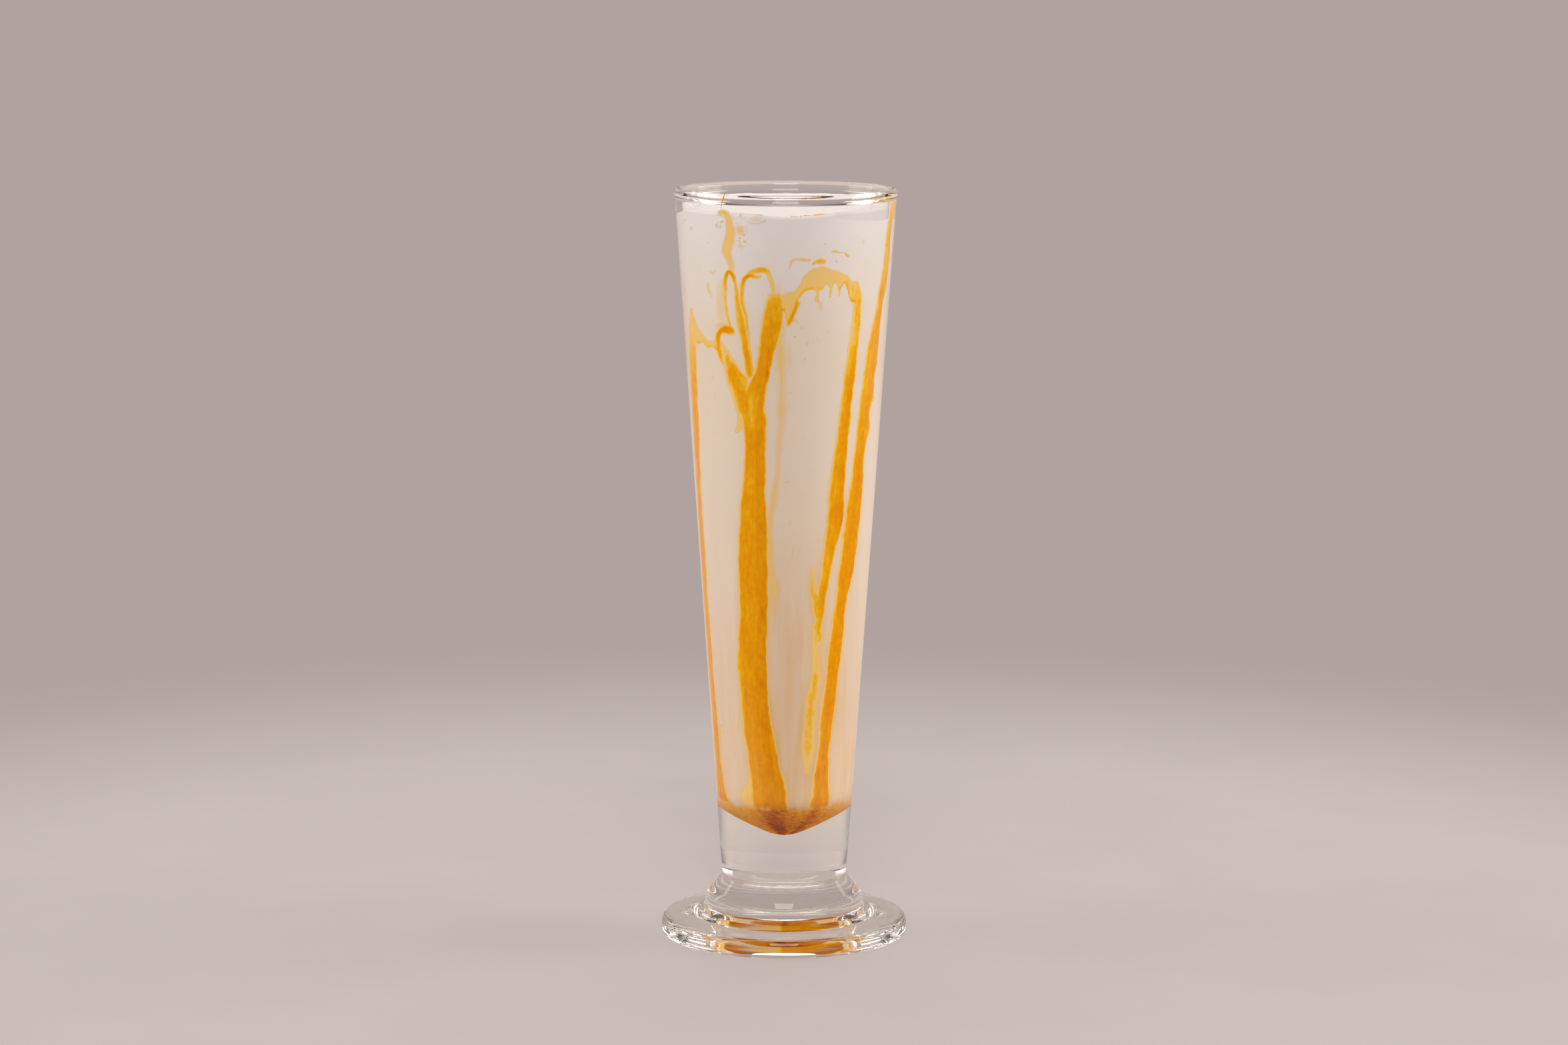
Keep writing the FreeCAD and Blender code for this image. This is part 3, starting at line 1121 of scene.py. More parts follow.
FORK: list[Mark] = [
    Veil((
        (-43, 195, 190, 0.34), (-40, 194.5, 188.6, 0.36), (-37, 193, 189.5, 0.38),
        (-35, 191.5, 186, 0.43), (-31, 188.5, 179, 0.5), (-27, 185.5, 176, 0.5), (-22, 184, 176, 0.5),
    ), 2.2, 0.9, 0.2, 21),
    Stroke((
        (-33.5, 197.4, 1.83, 0.8), (-36.5, 197.6, 2.07, 0.85), (-39.5, 197.4, 1.71, 0.81),
        (-42, 196.2, 1.46, 0.74), (-43.2, 194, 1.34, 0.66), (-43, 191.6, 1.46, 0.59),
        (-41.6, 189.4, 1.46, 0.59), (-40, 187.2, 0.98, 0.48),
    )),
    Stroke((
        (-37, 189.4, 1.22, 0.53), (-34.6, 186, 2.93, 0.64), (-32.5, 182.5, 3.9, 0.66),
        (-29, 178.5, 4.15, 0.64), (-26, 173, 3.9, 0.64),
    )),
    Stroke((
        (-34, 198.6, 0.85, 0.53), (-35.4, 203, 0.85, 0.45), (-36.2, 208, 0.85, 0.45),
        (-35.9, 212.5, 0.98, 0.53), (-34.6, 215, 0.98, 0.7), (-33, 216, 0.85, 0.78),
        (-31.4, 215.4, 0.85, 0.76), (-29.7, 213, 0.85, 0.66), (-29, 210, 0.98, 0.53),
        (-28.2, 206, 1.46, 0.53), (-26.8, 202, 2.07, 0.57), (-25.2, 197, 2.07, 0.61),
        (-23.8, 192.5, 1.95, 0.66), (-22.8, 188.5, 1.83, 0.66), (-22, 184, 1.71, 0.58),
    )),
    Stroke((
        (-14, 214.8, 0.73, 0.36), (-17, 214.8, 0.85, 0.53), (-20.5, 215.1, 0.98, 0.7),
        (-23, 214.3, 0.98, 0.74), (-24.8, 212, 1.1, 0.64), (-25.4, 208.5, 0.98, 0.59),
        (-24.6, 205, 0.85, 0.59), (-23.2, 202.5, 0.73, 0.59), (-22.4, 198, 0.55, 0.53),
        (-21.6, 194, 0.55, 0.48), (-20.6, 189, 0.55, 0.45), (-20, 185, 0.61, 0.42),
    )),
    Stroke((
        (-21, 215.4, 0.98, 0.42), (-18, 216.5, 1.22, 0.53), (-14.5, 216.9, 1.46, 0.59),
        (-11, 216.7, 1.34, 0.57), (-9, 215.2, 1.1, 0.42), (-7.6, 213, 1.1, 0.34), (-7, 210.5, 1.1, 0.23),
    )),
    Veil((
        (-45, 213, 199, 0.06), (-41, 216, 198, 0.12), (-38, 217, 198.5, 0.14), (-35, 214, 198.5, 0.1),
    ), 6, 3, 0, 22),
    Dab(-39, 198.8, 8, 2.6, 0.22),
    Stroke((
        (-49, 212, 1.1, 0.17), (-49.2, 210.4, 0.98, 0.21), (-47.6, 209, 0.98, 0.19),
        (-46, 207.8, 0.85, 0.13),
    )),
    Stroke(((-47, 215.6, 1.1, 0.13), (-44.5, 215.3, 1.1, 0.17), (-42.5, 216, 0.98, 0.11))),
    Stroke((
        (-33, 181, 1.46, 0.42), (-31.4, 176, 0.85, 0.36), (-30.6, 171, 0.85, 0.28),
        (-30.6, 166.5, 1.46, 0.28), (-32.4, 165.6, 1.1, 0.25),
    )),
]

TOP_COLUMN: list[Mark] = [
    Stroke((
        (-37.5, 234.3, 0.9, 0.4), (-34.6, 234.2, 1.1, 0.42), (-32.6, 233, 1.6, 0.36),
        (-31.6, 230.5, 1.9, 0.3), (-31, 227.8, 2.4, 0.32), (-32.4, 225, 2.8, 0.3),
        (-33.8, 222.6, 2.6, 0.34), (-32.6, 220.4, 2, 0.26), (-31.4, 218, 1.8, 0.22),
        (-31.2, 216, 1.4, 0.2),
    ), edge=0.8),
    Dab(-25.5, 229, 4.2, 4, 0.2), Dab(-25.5, 224, 3.4, 2.4, 0.16), Dab(-16, 232.5, 5, 2, 0.12),
    Dab(-36.2, 231.7, 0.8, 0.8, 0.4), Dab(-40.4, 230.2, 0.8, 1, 0.3), Dab(-47, 224.7, 0.8, 0.6, 0.4),
    Dab(-69, 230.8, 0.7, 0.5, 0.42), Dab(-72, 230, 0.6, 0.4, 0.4), Dab(-61, 229, 1.4, 0.8, 0.2),
]

LEFT_RUN: list[Mark] = [
    Run((
        (204, -70, -66, 0.2), (198, -74.5, -64, 0.34), (192, -77, -65, 0.46), (186, -79, -66, 0.56),
        (178, -81, -67.5, 0.62), (168, -81.5, -68.5, 0.66), (155, -83.5, -71, 0.66),
        (140, -86.5, -73.5, 0.68), (120, -89, -74, 0.68), (95, -91, -75, 0.7), (70, -91, -73.5, 0.72),
        (52, -92, -71, 0.74), (43, -94, -62, 0.8),
    ), soft_left=2, soft_right=1.4, lean=0.3, seed=31),
    Run((
        (188, -75.5, -71, 0.3), (180, -76.5, -71.5, 0.7), (165, -78, -72.5, 0.74),
        (148, -81.5, -76, 0.74), (125, -84.5, -78.5, 0.74), (90, -87, -80.5, 0.76), (43, -88, -76, 0.84),
    ), soft_left=1.6, soft_right=0.8, lean=0.2, seed=32),
    Veil((
        (-72, 204, 186, 0.2), (-68, 204, 188.5, 0.32), (-64, 201, 191.6, 0.3), (-60, 198.4, 191.9, 0.3),
        (-57, 196.6, 192.6, 0.28), (-53, 195.2, 191.2, 0.3), (-48.5, 194.8, 191.4, 0.3),
        (-45, 195, 190.4, 0.34), (-42, 196, 188.8, 0.34), (-39, 194, 188, 0.3),
    ), 2.4, 0.6, 0.16, 33),
    Run((
        (182, -73, -67, 0.12), (165, -74, -68, 0.16), (140, -77, -70, 0.14), (118, -79, -72, 0.1),
    ), 1.5, 1.8, 0, 34),
    Stroke(((-77, 211, 1.6, 0.12), (-77, 208, 1.6, 0.12))),
]

ARCH: list[Mark] = [
    Veil((
        (4, 211.5, 205, 0.28), (7, 213, 207, 0.31), (10, 215.8, 209.4, 0.31), (14, 218, 210.4, 0.3),
        (18, 219, 210.3, 0.3), (20.5, 219.2, 210.4, 0.3), (23.4, 218.8, 212.2, 0.3),
        (26, 218.2, 210.6, 0.3), (28.6, 217.7, 212.4, 0.3), (31.4, 217.1, 210.2, 0.3),
        (34.6, 216.2, 212.1, 0.33), (37, 215.6, 209.8, 0.37), (39.5, 214.2, 206.6, 0.4),
        (42, 212.8, 205.8, 0.42), (45.5, 211.6, 205.4, 0.37),
    ), 2.2, 0.5, 0.2, 41),
    Veil((
        (-10, 208, 201, 0.31), (-4, 210, 203, 0.31), (-1.4, 210.6, 203.6, 0.31),
        (-0.2, 210.8, 203.4, 0.31), (1, 211, 200.4, 0.33), (2.4, 211.2, 199.8, 0.37),
        (4.5, 211.6, 203, 0.39), (6.6, 212.4, 206, 0.39), (9, 213.5, 208.6, 0.37),
    ), 2.4, 0.5, 0.3, 42),
    Stroke(((18, 210.4, 0.9, 0.36), (18.2, 208.8, 0.7, 0.32), (18, 207.4, 1.3, 0.3))),
    Stroke(((20, 206.5, 1.4, 0.16), (20, 204, 1, 0.12))),
    Stroke(((26, 211, 0.8, 0.32), (26, 208.4, 0.5, 0.2))),
    Stroke(((31.4, 210.8, 0.8, 0.34), (31.4, 208.6, 0.5, 0.2))),
    Stroke(((7.4, 206.6, 0.9, 0.55), (5, 203.6, 0.9, 0.6), (3, 201.2, 1, 0.6), (1.4, 199.8, 0.9, 0.5))),
    Stroke((
        (2.2, 200.4, 0.5, 0.4), (4.4, 201.2, 0.6, 0.4), (6.4, 201, 0.5, 0.26), (7.8, 200.2, 0.4, 0.2),
    )),
    Stroke((
        (2, 217.6, 0.7, 0.14), (3.2, 219.8, 0.8, 0.2), (6.5, 220.4, 0.8, 0.22), (10, 220, 0.9, 0.24),
        (13.5, 219.9, 0.7, 0.2),
    )),
    Stroke((
        (15, 218.7, 0.5, 0.5), (17, 219.4, 0.8, 0.5), (19.6, 219.7, 1.3, 0.46), (21.4, 219.6, 1.2, 0.42),
    )),
    Stroke((
        (25.6, 222.6, 0.5, 0.24), (28, 222.4, 0.6, 0.36), (31.5, 222, 0.4, 0.2), (34.3, 221.9, 0.4, 0.3),
        (35.4, 221.1, 0.6, 0.62), (37.5, 220.4, 0.4, 0.3),
    )),
    Dab(29, 219.5, 0.9, 0.9, 0.26), Dab(47, 225.2, 1.6, 1.8, 0.14), Dab(24, 223, 0.5, 0.5, 0.2),
]

RIGHT_RUN: list[Mark] = [
    Run((
        (213.5, 37.6, 44, 0.3), (209, 40.4, 47.4, 0.44), (203, 41.3, 48, 0.5), (196, 40.3, 48, 0.5),
        (190, 39, 47.5, 0.6), (182, 37.6, 46.4, 0.68), (172, 35.6, 45, 0.66), (162, 33.4, 43.6, 0.68),
        (150, 31, 43, 0.7), (140, 30, 43.6, 0.72), (134, 29.4, 42.4, 0.68), (128, 28, 38, 0.66),
        (120, 26, 35.4, 0.64), (112, 24.6, 32, 0.64), (104, 23.8, 30, 0.56), (97, 23.2, 28.8, 0.36),
    ), soft_left=1.6, soft_right=0.9, lean=0.35, seed=51),
    Run((
        (192, 42, 46.8, 0.3), (182, 41, 45.8, 0.78), (166, 38, 43, 0.74), (150, 36.5, 42.5, 0.76),
        (138, 36, 42.6, 0.76), (131, 34, 40, 0.4),
    ), 1.2, 0.8, 0.1, 52),
    Stroke((
        (20, 122.5, 0.5, 0.3), (20.4, 118.5, 1.2, 0.42), (21.8, 115, 1.8, 0.5), (24.4, 111.5, 2.2, 0.54),
        (26, 107, 2, 0.5),
    )),
    Stroke((
        (26, 103, 2.4, 0.46), (26, 96, 2.2, 0.4), (26.2, 91, 2.1, 0.38), (26.2, 86, 2.4, 0.5),
        (24.8, 82.4, 2.6, 0.5), (23, 79.8, 3, 0.44), (22.6, 75, 3.2, 0.46), (21.8, 70, 2.9, 0.42),
        (21.2, 64, 2.9, 0.46), (21.6, 60.6, 2.5, 0.44), (20.4, 56, 1.9, 0.24),
    ), edge=0.7),
    Veil(((18, 81, 57, 0.16), (22, 82, 58, 0.2), (26, 80, 60, 0.18), (30, 78, 66, 0.1)), 3, 3, 0, 53),
    Dab(24, 131, 0.7, 1.4, 0.26), Dab(5, 127, 0.7, 5, 0.2), Dab(3, 137, 1.2, 1.8, 0.14),
    Dab(2.5, 123.4, 1, 2, 0.14),
]

FAR_RIGHT_RUN: list[Mark] = [
    Run((
        (238, 72, 82, 0.33), (233, 71.5, 79, 0.49), (228, 69, 77, 0.59), (220, 68.5, 77.5, 0.55),
        (214, 66.6, 77, 0.57), (209, 64.5, 75.2, 0.61), (205, 63, 72, 0.63), (196, 58.6, 70.2, 0.63),
        (187, 55, 69.6, 0.65), (181, 53.8, 67.4, 0.65), (175.5, 52.6, 67.6, 0.67), (171, 52, 64.4, 0.67),
        (165, 51, 65.6, 0.67), (161, 50.4, 62.6, 0.69), (150, 48.5, 62.5, 0.71), (138, 45.6, 62, 0.73),
        (128, 43.2, 60.6, 0.73), (120, 41.5, 58, 0.73), (113, 40.5, 53.4, 0.73), (100, 37, 51, 0.77),
        (85, 34.5, 48.5, 0.79), (70, 31, 46, 0.81), (60, 29, 43.2, 0.83), (50, 25.6, 45.6, 0.83),
        (43, 23.5, 49, 0.89),
    ), soft_left=1.8, soft_right=0.9, lean=0.25, seed=61),
    Run((
        (214, 68, 75, 0.37), (208, 66, 72.6, 0.73), (200, 64.6, 70.6, 0.73), (190, 63, 69.2, 0.75),
        (180, 61.6, 67.2, 0.73), (166, 56, 62, 0.67), (152, 53.5, 60, 0.79), (136, 50, 56.5, 0.79),
        (115, 43.5, 50.5, 0.79), (92, 39, 46, 0.85), (70, 34, 42, 0.87), (50, 29, 38, 0.9),
        (43, 28, 40, 0.9),
    ), soft_left=1.6, soft_right=1.2, lean=0, seed=62),
    Veil((
        (74, 237, 231, 0.3), (82, 237, 231, 0.26), (92, 236.6, 231.5, 0.2), (100, 236, 232, 0.1),
    ), 1.2, 1, 0.06, 63),
    Dab(72, 226.5, 2.4, 1.6, 0.62), Dab(71.3, 223, 2, 2, 0.66), Dab(68.6, 186.2, 2.2, 2.4, 0.72),
    Dab(66.4, 175, 2.4, 2.4, 0.7), Dab(57, 96, 1.2, 2.4, 0.14), Dab(57, 88, 2.4, 9, 0.12),
    Dab(79, 87, 1.4, 9, 0.14),
]

MIDDLE_STREAK: list[Mark] = [
    Stroke((
        (-4.2, 212, 1.8, 0.1), (-4, 207, 2.6, 0.13), (-3.6, 198, 3, 0.17), (-3, 189, 3, 0.18),
        (-2.4, 180, 2.6, 0.17), (-2.4, 173, 2.6, 0.18), (-3.6, 165, 2.2, 0.17), (-4.8, 157, 1.8, 0.17),
        (-6, 150, 1.7, 0.18), (-7.4, 144.5, 2, 0.2), (-9.6, 139.5, 1.8, 0.17), (-11, 135, 1.8, 0.18),
        (-10.6, 129, 2.2, 0.2), (-9.6, 122, 1.9, 0.18), (-7.8, 117, 2.1, 0.22), (-8.6, 111, 2.1, 0.18),
        (-9.6, 104, 1.6, 0.1),
    ), edge=0.9),
    Stroke((
        (-3.4, 199, 0.4, 0.2), (-3, 190, 0.5, 0.26), (-2.2, 180, 0.4, 0.24), (-2.4, 172, 0.4, 0.2),
    ), edge=0.8),
    Stroke((
        (-7.2, 146, 0.4, 0.24), (-9.4, 140, 0.5, 0.28), (-10.8, 134, 0.6, 0.3), (-10.6, 128, 0.6, 0.32),
        (-9.4, 121, 0.5, 0.26), (-7.8, 117, 0.7, 0.36), (-8.6, 111, 0.5, 0.24),
    ), edge=0.8),
    Dab(-5.4, 116, 1.1, 1.4, 0.34), Dab(2.5, 174.5, 1.2, 3.4, 0.16), Dab(3, 178.4, 2.8, 1, 0.15),
    Dab(1.4, 150.2, 1.8, 0.9, 0.24), Dab(2, 190, 2.4, 12, 0.13), Dab(5.5, 196.2, 1, 1, 0.24),
    Dab(13, 194, 1.2, 1.8, 0.18), Dab(11.6, 189, 1, 1.6, 0.2), Dab(26, 197.6, 2.8, 2.6, 0.13),
    Dab(19, 195.4, 0.8, 0.8, 0.2), Dab(9.4, 199, 0.9, 2.4, 0.16), Dab(-3, 96, 1.6, 1.6, 0.16),
    Dab(4, 76.5, 3.2, 1.4, 0.16), Dab(3.6, 109, 1.2, 2.2, 0.14), Dab(8, 158, 0.9, 1.1, 0.14),
    Dab(15, 146, 1, 1.4, 0.12), Dab(10, 128, 0.9, 1.2, 0.14), Dab(-1.5, 134, 0.8, 2.2, 0.13),
    Dab(6, 92, 1.2, 1.4, 0.13), Dab(15, 98, 1, 2.4, 0.12),
]

LEFT_SPECKS: list[Mark] = [
    Stroke(((-43.6, 73, 0.7, 0.16), (-44, 70, 0.8, 0.24), (-45, 67.6, 1, 0.16))),
    Stroke((
        (-66, 69.2, 0.8, 0.22), (-69, 69.2, 0.8, 0.22), (-70.4, 66, 0.7, 0.24), (-71, 62, 0.6, 0.14),
    )),
    Dab(-50, 48.6, 1, 1, 0.4), Dab(-49, 182, 1, 1.6, 0.16), Dab(-48.5, 176, 0.9, 3, 0.12),
    Dab(-50.4, 164.4, 1, 0.9, 0.2), Dab(-63, 130.6, 1.4, 0.9, 0.16), Dab(-69, 124.8, 1.2, 0.9, 0.18),
    Dab(-60, 93, 1.4, 1.6, 0.14), Dab(-49, 108, 2, 2, 0.1), Dab(-42, 211, 1, 1, 0.1),
]


def scattered(
    count: int, azimuths: tuple[float, float], heights: tuple[float, float], deepest: float, seed: int
) -> list[Mark]:
    """Small specks of syrup strewn over a window of the wall, the same each run.

    Args:
        count: How many.
        azimuths: Window's azimuths.
        heights: Window's heights.
        deepest: Depth of the strongest speck.
        seed: Seed of the random numbers.

    Returns:
        The specks.
    """
    random = np.random.default_rng(seed)
    place = random.uniform((azimuths[0], heights[0]), (azimuths[1], heights[1]), (count, 2))
    smallest, spread, faintest = 0.45, 0.9, 0.4
    size = smallest + spread * random.random((count, 2)) ** 2
    depth = deepest * random.uniform(faintest, 1.0, count)
    return [Dab(*map(float, (*p, *w, d))) for p, w, d in zip(place, size, depth)]


SPECKS: list[Mark] = [
    *scattered(16, (-33, -22), (222, 232), deepest=0.34, seed=101),
    *scattered(10, (-40, -24), (228, 234), deepest=0.24, seed=102),
    *scattered(14, (-30, 6), (196, 214), deepest=0.2, seed=103),
    *scattered(16, (-8, 30), (150, 204), deepest=0.22, seed=104),
    *scattered(18, (-8, 30), (60, 150), deepest=0.2, seed=105),
    *scattered(10, (-66, -40), (60, 200), deepest=0.2, seed=106),
    *scattered(8, (16, 50), (219, 226), deepest=0.22, seed=107),
]


def far_side(marks: list[Mark], shift: float, drop: float) -> list[Mark]:
    """The same marks once more on the far side of the glass: mirrored, moved round and sunk.

    Args:
        marks: Marks to repeat.
        shift: Azimuth that their own azimuth is counted back from.
        drop: Millimetres by which their upper ends sink.

    Returns:
        The new marks.
    """

    def sunk(height: float) -> float:
        """Height after sinking: nothing near the pool, the whole drop at the top."""
        still, span = 60.0, 150.0
        return height - drop * max(0.0, (height - still) / span)

    softer, reseeded = 0.4, 100
    moved: list[Mark] = []
    for mark in marks:
        if isinstance(mark, Run):
            rows = tuple((sunk(h), shift - right, shift - left, d) for h, left, right, d in mark.rows)
            softness = (mark.soft_right + softer, mark.soft_left)
            moved.append(Run(rows, *softness, -mark.lean, mark.seed + reseeded))
        elif isinstance(mark, Stroke):
            moved.append(Stroke(tuple((shift - a, sunk(h), w, d) for a, h, w, d in mark.line), mark.edge))
        elif isinstance(mark, Veil):
            columns = tuple((shift - a, sunk(top), sunk(low), d) for a, top, low, d in mark.columns)
            moved.append(Veil(columns, mark.soft_top, mark.soft_bottom, mark.hem, mark.seed + reseeded))
        else:
            place = (shift - mark.azimuth, sunk(mark.height))
            moved.append(Dab(*place, mark.width, mark.tallness, mark.deepest))
    return moved


class Caramel:
    """All the syrup on the wall: how deep it stands anywhere, and how far it has stained the milk.

    Azimuths here run from SEAM once round the glass.
    """

    SEAM = -100.0
    CELL = 1.0
    LOWEST, ABOVE = 30.0, 4.0
    MARGIN = 2.0
    POWER = 8
    DEEP_BASE, DEEP_GROWTH = 0.35, 0.5
    LOW = (45, 175)
    MIDDLE_TOP, MIDDLE_FOOT = (60, 205), (60, 125)
    RIGHT = (10, 70)
    FRONT, FRONT_WIDTH = 8, 30
    HALO_SHARE, FRONT_SHARE, LOW_SHARE, RIGHT_SHARE = 0.6, 0.34, 0.44, 0.1
    MOTTLE = 0.22
    MOTTLE_RISE = 4.0
    SETTLED = 45.0

    def __init__(self, glass: Glass, marks: list[Mark], level: float) -> None:
        """Works out the stain once, on a coarse grid of the whole wall.

        Depth is spread sideways and down by repeated averaging with its neighbours. To that halo come a
        rise towards the bottom and a broad patch in front. That patch is partly syrup stain and partly
        painted shade, which makes the middle of the shown side darker and warmer.

        Args:
            glass: The glass.
            marks: Every mark on its wall.
            level: Height of the drink's surface.
        """
        self.glass, self.marks, self.level = glass, marks, level
        self.azimuths = np.arange(self.SEAM, self.SEAM + 360.0 + self.CELL, self.CELL)
        self.heights = np.arange(self.LOWEST, level + self.ABOVE, self.CELL)
        depth = self.depth(Wall(glass, self.azimuths, self.heights))
        halo = depth.copy()
        for reach in (1, 2, 3):
            for axis in (0, 1):
                halo = (halo + np.roll(halo, reach, axis) + np.roll(halo, -reach, axis)) / 3
        azimuth, height = np.meshgrid(self.azimuths, self.heights)
        low = 1 - ease(*self.LOW, height)
        middle = (1 - ease(*self.MIDDLE_TOP, height)) * (0.5 + 0.5 * ease(*self.MIDDLE_FOOT, height))
        # painted shade in part: a darker, warmer patch over the middle of the shown side, beside real syrup
        # stain
        front = np.exp(-(((azimuth - self.FRONT) / self.FRONT_WIDTH) ** 2))
        rise = (self.LOW_SHARE + self.RIGHT_SHARE * ease(*self.RIGHT, azimuth)) * low
        spread = self.HALO_SHARE * halo + self.FRONT_SHARE * middle * front + rise
        self.halo = np.clip(spread, 0, 1)

    def depth(self, wall: Wall) -> np.ndarray:
        """Depth of all the marks over the wall.

        It is the eighth root of the sum of their eighth powers, so that they melt together. Soft relief
        mottles it, and where it is deep it grows half as fast.

        Args:
            wall: The window to work it out on.

        Returns:
            Depth at every point of the grid.
        """
        total = np.zeros((len(wall.heights), len(wall.azimuths)))
        wall = wall.drifted()
        for mark in self.marks:
            rows, columns = wall.window(mark.knots(), self.MARGIN)
            part = wall.part(rows, columns)
            if len(part.azimuths) and len(part.heights):
                total[rows, columns] += np.clip(mark.depth(part), 0, None) ** self.POWER
        azimuth, height = wall.grid()
        mottle = self.MOTTLE * Ripple(seed=7).layered(azimuth / RELIEF_TURN, height / self.MOTTLE_RISE, 4)
        total = total ** (1 / self.POWER) * (1 + mottle)
        return np.minimum(total, self.DEEP_BASE + self.DEEP_GROWTH * total)

    def stain_and_shade(self, azimuth: np.ndarray, height: np.ndarray) -> np.ndarray:
        """Stain at places of the wall, read between the points of the coarse grid.

        Args:
            azimuth: Azimuths of the places.
            height: Their heights.

        Returns:
            Stain from 0 to 1 at each, holding the painted shade of the front patch too.
        """
        column = np.clip((azimuth - self.azimuths[0]) / self.CELL, 0, len(self.azimuths) - 1.001)
        row = np.clip((height - self.heights[0]) / self.CELL, 0, len(self.heights) - 1.001)
        i, j = row.astype(int), column.astype(int)
        u, v = column - j, row - i
        lower = self.halo[i, j] * (1 - u) + self.halo[i, j + 1] * u
        upper = self.halo[i + 1, j] * (1 - u) + self.halo[i + 1, j + 1] * u
        return lower * (1 - v) + upper * v

    def age(self, height: np.ndarray) -> np.ndarray:
        """Share of the way from the fresh top of the milk to its settled part."""
        return np.clip((self.level - height) / self.SETTLED, 0, 1)

    def tint(self, azimuth: np.ndarray, height: np.ndarray) -> dict[str, np.ndarray]:
        """The attributes that the milk's colour needs, at places of the wall."""
        return {"age": self.age(height), "stain_and_shade": self.stain_and_shade(azimuth, height)}


@dataclass(frozen=True)
class Stretch:
    """Syrup on one stretch of the wall, as a thin closed skin just inside the glass.

    Neighbours overlap a little, and stand proud of the milk by different hairs, so that no joint shows.
    """

    name: str
    azimuths: tuple[float, float]
    heights: tuple[float, float]
    spacing: float = 0.3
    proud: float = 0.015
    reach: float = 0.1
    sink: float = 0.6
    least: float = 0.015
    hem: float = 0.7
    rise: float = 0.12
    base: float = 0.15

    @staticmethod
    def inset(places: np.ndarray) -> np.ndarray:
        """Distance of each place of a row from the nearer end of the row."""
        return np.minimum(np.abs(places - places[0]), np.abs(places - places[-1]))

    def wall(self, glass: Glass) -> Wall:
        """The grid that this stretch is worked out on.

        Args:
            glass: The glass.

        Returns:
            The window of its wall.
        """
        middle = glass.bore_radius(sum(self.heights) / 2)
        columns = int(math.radians(self.azimuths[1] - self.azimuths[0]) * middle / self.spacing)
        rows = int((self.heights[1] - self.heights[0]) / self.spacing)
        heights = np.linspace(self.heights[1], self.heights[0], rows)
        return Wall(glass, np.linspace(*self.azimuths, columns), heights)

    def build(self, caramel: Caramel, finish: bpy.types.Material) -> bpy.types.Object:
        """Makes the skin: its outer side presses into the glass, its inner side lies within the milk.

        At its borders the outer side dips a hair below the milk, so that no border shows. A grid cell is
        kept where syrup stands on one of its corners. An edge that belongs to one kept cell only gets a
        narrow wall between the two sides.

        Args:
            caramel: The syrup on the whole wall.
            finish: The syrup's material.

        Returns:
            The new object.
        """
        wall = self.wall(caramel.glass)
        depth = caramel.depth(wall)
        azimuth, height = wall.grid()
        rows, columns = depth.shape
        quads = grid_quads(rows, columns, False)
        quads = quads[depth.ravel()[quads].max(1) > self.least]
        angle = np.radians(azimuth)
        bore = caramel.glass.bowl_radius(height)
        aside = np.radians(self.inset(wall.azimuths)) * bore[0, 0]
        border = np.minimum.outer(self.inset(wall.heights), aside)
        swell = ease(0, self.rise, depth) * ease(0, self.hem, border)
        outside = bore + self.reach + self.proud * (2 * swell - 1)
        inside = bore - self.base - self.sink * np.clip(depth, 0, 1)
        points = np.concatenate([round_axis(r, angle, height) for r in (outside, inside)])
        count = rows * columns
        # rows run downwards, so the outer side takes its quads the other way round to face outwards
        outer, inner = quads[:, ::-1], quads + count
        directed = np.concatenate([outer[:, [i, (i + 1) % 4]] for i in range(4)])
        keys = np.sort(directed, 1) @ np.array([count, 1])
        _, first, shared = np.unique(keys, return_index=True, return_counts=True)
        rim = directed[first[shared == 1]]
        band = np.stack([rim[:, 1], rim[:, 0], rim[:, 0] + count, rim[:, 1] + count], -1)
        used, faces = np.unique(np.concatenate([outer, inner, band]), return_inverse=True)
        smooth = np.arange(2 * len(outer) + len(band)) < 2 * len(outer)
        attributes = {"depth": depth, **caramel.tint(azimuth, height)}
        doubled = {key: np.concatenate([v.ravel(), v.ravel()])[used] for key, v in attributes.items()}
        piece = make_piece(self.name, points[used], [faces.reshape(-1, 4)], doubled)
        piece.data.polygons.foreach_set("use_smooth", smooth)
        piece.data.materials.append(finish)
        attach(piece, "root")
        return piece


STRETCHES = (
    Stretch("caramel_run_main", (-47.5, 16.5), (45.5, 185), 0.3, 0.012),
    Stretch("caramel_loops", (-47.5, 1.5), (183, 235.4), 0.22, 0.016),
    Stretch("caramel_run_left", (-100, -44.5), (45.5, 235.4), 0.3, 0.02),
    Stretch("caramel_arch", (-1.5, 53.5), (183, 235.4), 0.24, 0.02),
    Stretch("caramel_run_right", (13.5, 42.5), (45.5, 185), 0.28, 0.016),
    Stretch("caramel_run_far_right", (39.5, 102.5), (45.5, 185), 0.3, 0.024),
    Stretch("caramel_run_far_right_top", (50.5, 102.5), (183, 236.6), 0.3, 0.012),
    Stretch("caramel_back_one", (99.5, 151.5), (45.5, 236), 0.4, 0.016),
    Stretch("caramel_back_two", (148.5, 201.5), (45.5, 236), 0.4, 0.012),
    Stretch("caramel_back_three", (198.5, 260), (45.5, 236), 0.4, 0.016),
)


# ---- the drink --------------------------------------------------------------------------------


